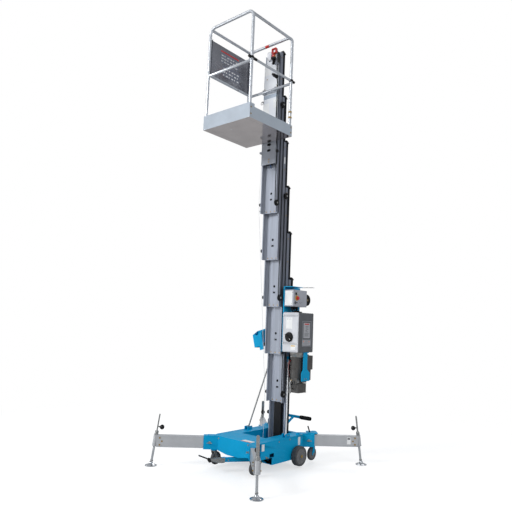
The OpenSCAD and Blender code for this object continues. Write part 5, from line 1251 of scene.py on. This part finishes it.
def side_panel():
    """A thin sheet with folded edges, raised fields without lettering, a plain red strip and rivets."""
    dress("side_panel", "platform", PANEL, (), 0.5)
    k = Kit()
    k.box((-309.4, -690, 4142), (-308.4, -104, 4486), PANEL)
    k.box((-308.7, -560, 4330), (-307.9, -270, 4470), FIELD)
    k.box((-308.1, -560, 4454), (-307.6, -270, 4470), RED)
    k.box((-308.7, -520, 4180), (-307.9, -240, 4315), FIELD)
    for a in range(6):
        for b in range(3):
            y, z = -548 + 46 * a, 4345 + 34 * b
            k.box((-308.1, y, z), (-307.7, y + (34 if (a + b) % 3 else 20), z + 8), PLATE)
            k.box((-308.1, y, z + 12), (-307.7, y + (26 if (a + 2 * b) % 3 else 34), z + 18), PLATE_GREY)
            y, z = -508 + 44 * a, 4192 + 38 * b
            k.box((-308.1, y, z), (-307.7, y + (30 if (a + b) % 2 else 16), z + 14), PLATE)
    k.box((-311.6, -560, 4200), (-310.8, -220, 4470), PLATE_GREY)
    k.make("panel_fields", "platform", bevel=0.4)
    screws("panel_rivets", "platform", [((-308.2, y, z), X) for y in (-698, -96) for z in (4150, 4320, 4500)], 3.2,
           1.6, 4.2, ZINC)


def platform_controls():
    """The console with its stop button and lever, its plug and leads, and the cable up the carriage."""
    cx, cf, cz = CONSOLE
    stop = (cx - 12, cf, cz + 75)
    ly, lz = cf - 22, cz + 28
    lever = (cx, ly, lz)
    dress("platform_controls", "platform", BOX, [
        (RED, lambda c, n: c.y < cf + 0.3 and c.z > cz + 99.5),
        (PLASTIC, lambda c, n: c.y < cf - 0.3 and c.z > 4300),
        (PLASTIC, lambda c, n: c.x > 10 and c.z < 4300),
        (GLOSS_BLACK, lambda c, n: c.x > cx + 31.7 and c.z > 4300),
        (CASE, lambda c, n: c.x < 1)], 1.2)
    k = Kit()
    k.lathe([(6.3, 0), (20.5, 0), (21, 1), (20.5, 2), (6.3, 2)], stop, -Y, YELLOW, 36, True)
    k.box((cx + 8, cf - 0.8, cz + 58), (cx + 29, cf + 0.4, cz + 92), PLATE_GREY)
    k.box((cx - 29, cf - 0.8, cz + 5), (cx - 4, cf + 0.4, cz + 24), PLATE)
    for x in (cx + 6, cx + 22):
        k.rod((x, cf - 0.6, cz + 14), (x, cf - 3.6, cz + 14), 4.2, GLOSS_BLACK, 18, 0.8)
    k.lathe([(7.6, 0), (17, 0), (18, -1.2), (16.4, -3), (7.6, -3)], lever, Z, RUBBER, 32, True)
    k.box((-42, -62.2, 4478), (-3, -60.6, 4556), WHITE_SHEET)
    k.box((-44, -60.8, 4557), (-1, -37, 4566.4), GLOSS_BLACK)
    k.make("console_trim", "platform", bevel=0.4)
    screws("console_screws", "platform", [((cx + 32.4, y, z), X) for y in (-82, -46) for z in (cz + 12, cz + 118)],
           3.6, 2.4, 5, ZINC)
    k = Kit()
    k.lathe([(0, 30), (9, 30), (14.4, 28.4), (17.4, 24), (18, 18), (17.4, 12), (14.4, 10.4), (6, 10.4), (6, -12),
             (0, -12)], stop, -Y, RED, 40)
    k.make("platform_stop_cap", "platform_stop_button", "platform_stop_button")
    k = Kit()
    k.rod((cx, ly - 3.5, lz + 10), (cx, ly + 3.5, lz + 10), 5.9, ZINC, 24, 0.5)
    k.rod((cx, ly, lz - 16), (cx, ly, lz + 9), 4, ZINC, 20)
    k.lathe([(0, -60), (8, -60), (12, -57.5), (13, -52), (13, -36), (12, -32), (12, -28), (13, -24), (13, -15),
             (11, -11.5), (8, -6.5), (0, -6.5)], lever, Z, RUBBER, 32)
    k.make("joystick", "platform_lever", "platform_lever")
    repeat(RIBS, "joystick_ribs", "platform_lever", [(cx, ly, lz - 54), (cx, ly, lz - 18)],
           (13.0, 0.9, 5.0), RUBBER)
    # plug, its coupling ring, and the coiled lead up to the console
    k = Kit()
    pz = 4245.0
    k.lathe([(0, 0), (19, 0), (20, -3), (20, -30), (18, -34), (18, -58), (14, -60), (0, -60)], (cx, -37, pz), Y,
            PLASTIC, 36)
    k.lathe([(0, -58), (13, -58), (14, -62), (14, -78), (11, -84), (0, -84)], (cx, -37, pz), Y, GLOSS_BLACK, 30)
    k.studs((cx, 0, pz), 19.6, 12, "y", -66, -42, 1.6, PLASTIC, 8)
    k.make("console_plug", "platform")
    turns, steps = 8, 14
    pts = [(92 + 8 * math.cos(2 * math.pi * t), -50 + 8 * math.sin(2 * math.pi * t), 4280 + 100 * t / turns)
           for t in (i / steps for i in range(turns * steps + 1))]
    k = Kit()
    k.pipe([(88, -46, 4262), (92, -44, 4270)] + pts + [(92, -52, 4388), (90, -56, 4397)], 2.8, RUBBER, 10)
    k.make("console_coiled_lead", "platform")
    # the power cable's last stretch: clipped to the carriage, up its right edge to the plug
    k = Kit()
    k.pipe(smooth_path([(CABLE_X, -52, 3360), (CABLE_X, -52, 3420), (110, -46, 3500), (96, -45, 3640),
                        (96, -45, 3900), (96, -45, 4020), (97, -45, 4150), (94, -47, 4205), (86, -50, 4228)], 7), 4.8,
           RUBBER, 14)
    for z in (3640, 3960, 4150):
        k.box((88, -52, z - 6), (104, -37.2, z + 6), ZINC)
    k.make("platform_cable", "platform")


studio()
mast()
chains()
cables()
chassis()
running_gear()
for corner in CORNERS:
    outrigger(corner)
handle_and_braces()
unit_bracket()
power_case()
ground_controls()
loading_wheel()
power_unit()
lift_cylinder()
carriage()
platform_floor()
guard_rails()
side_panel()
platform_controls()

bpy.context.scene.view_settings.view_transform = "Standard"
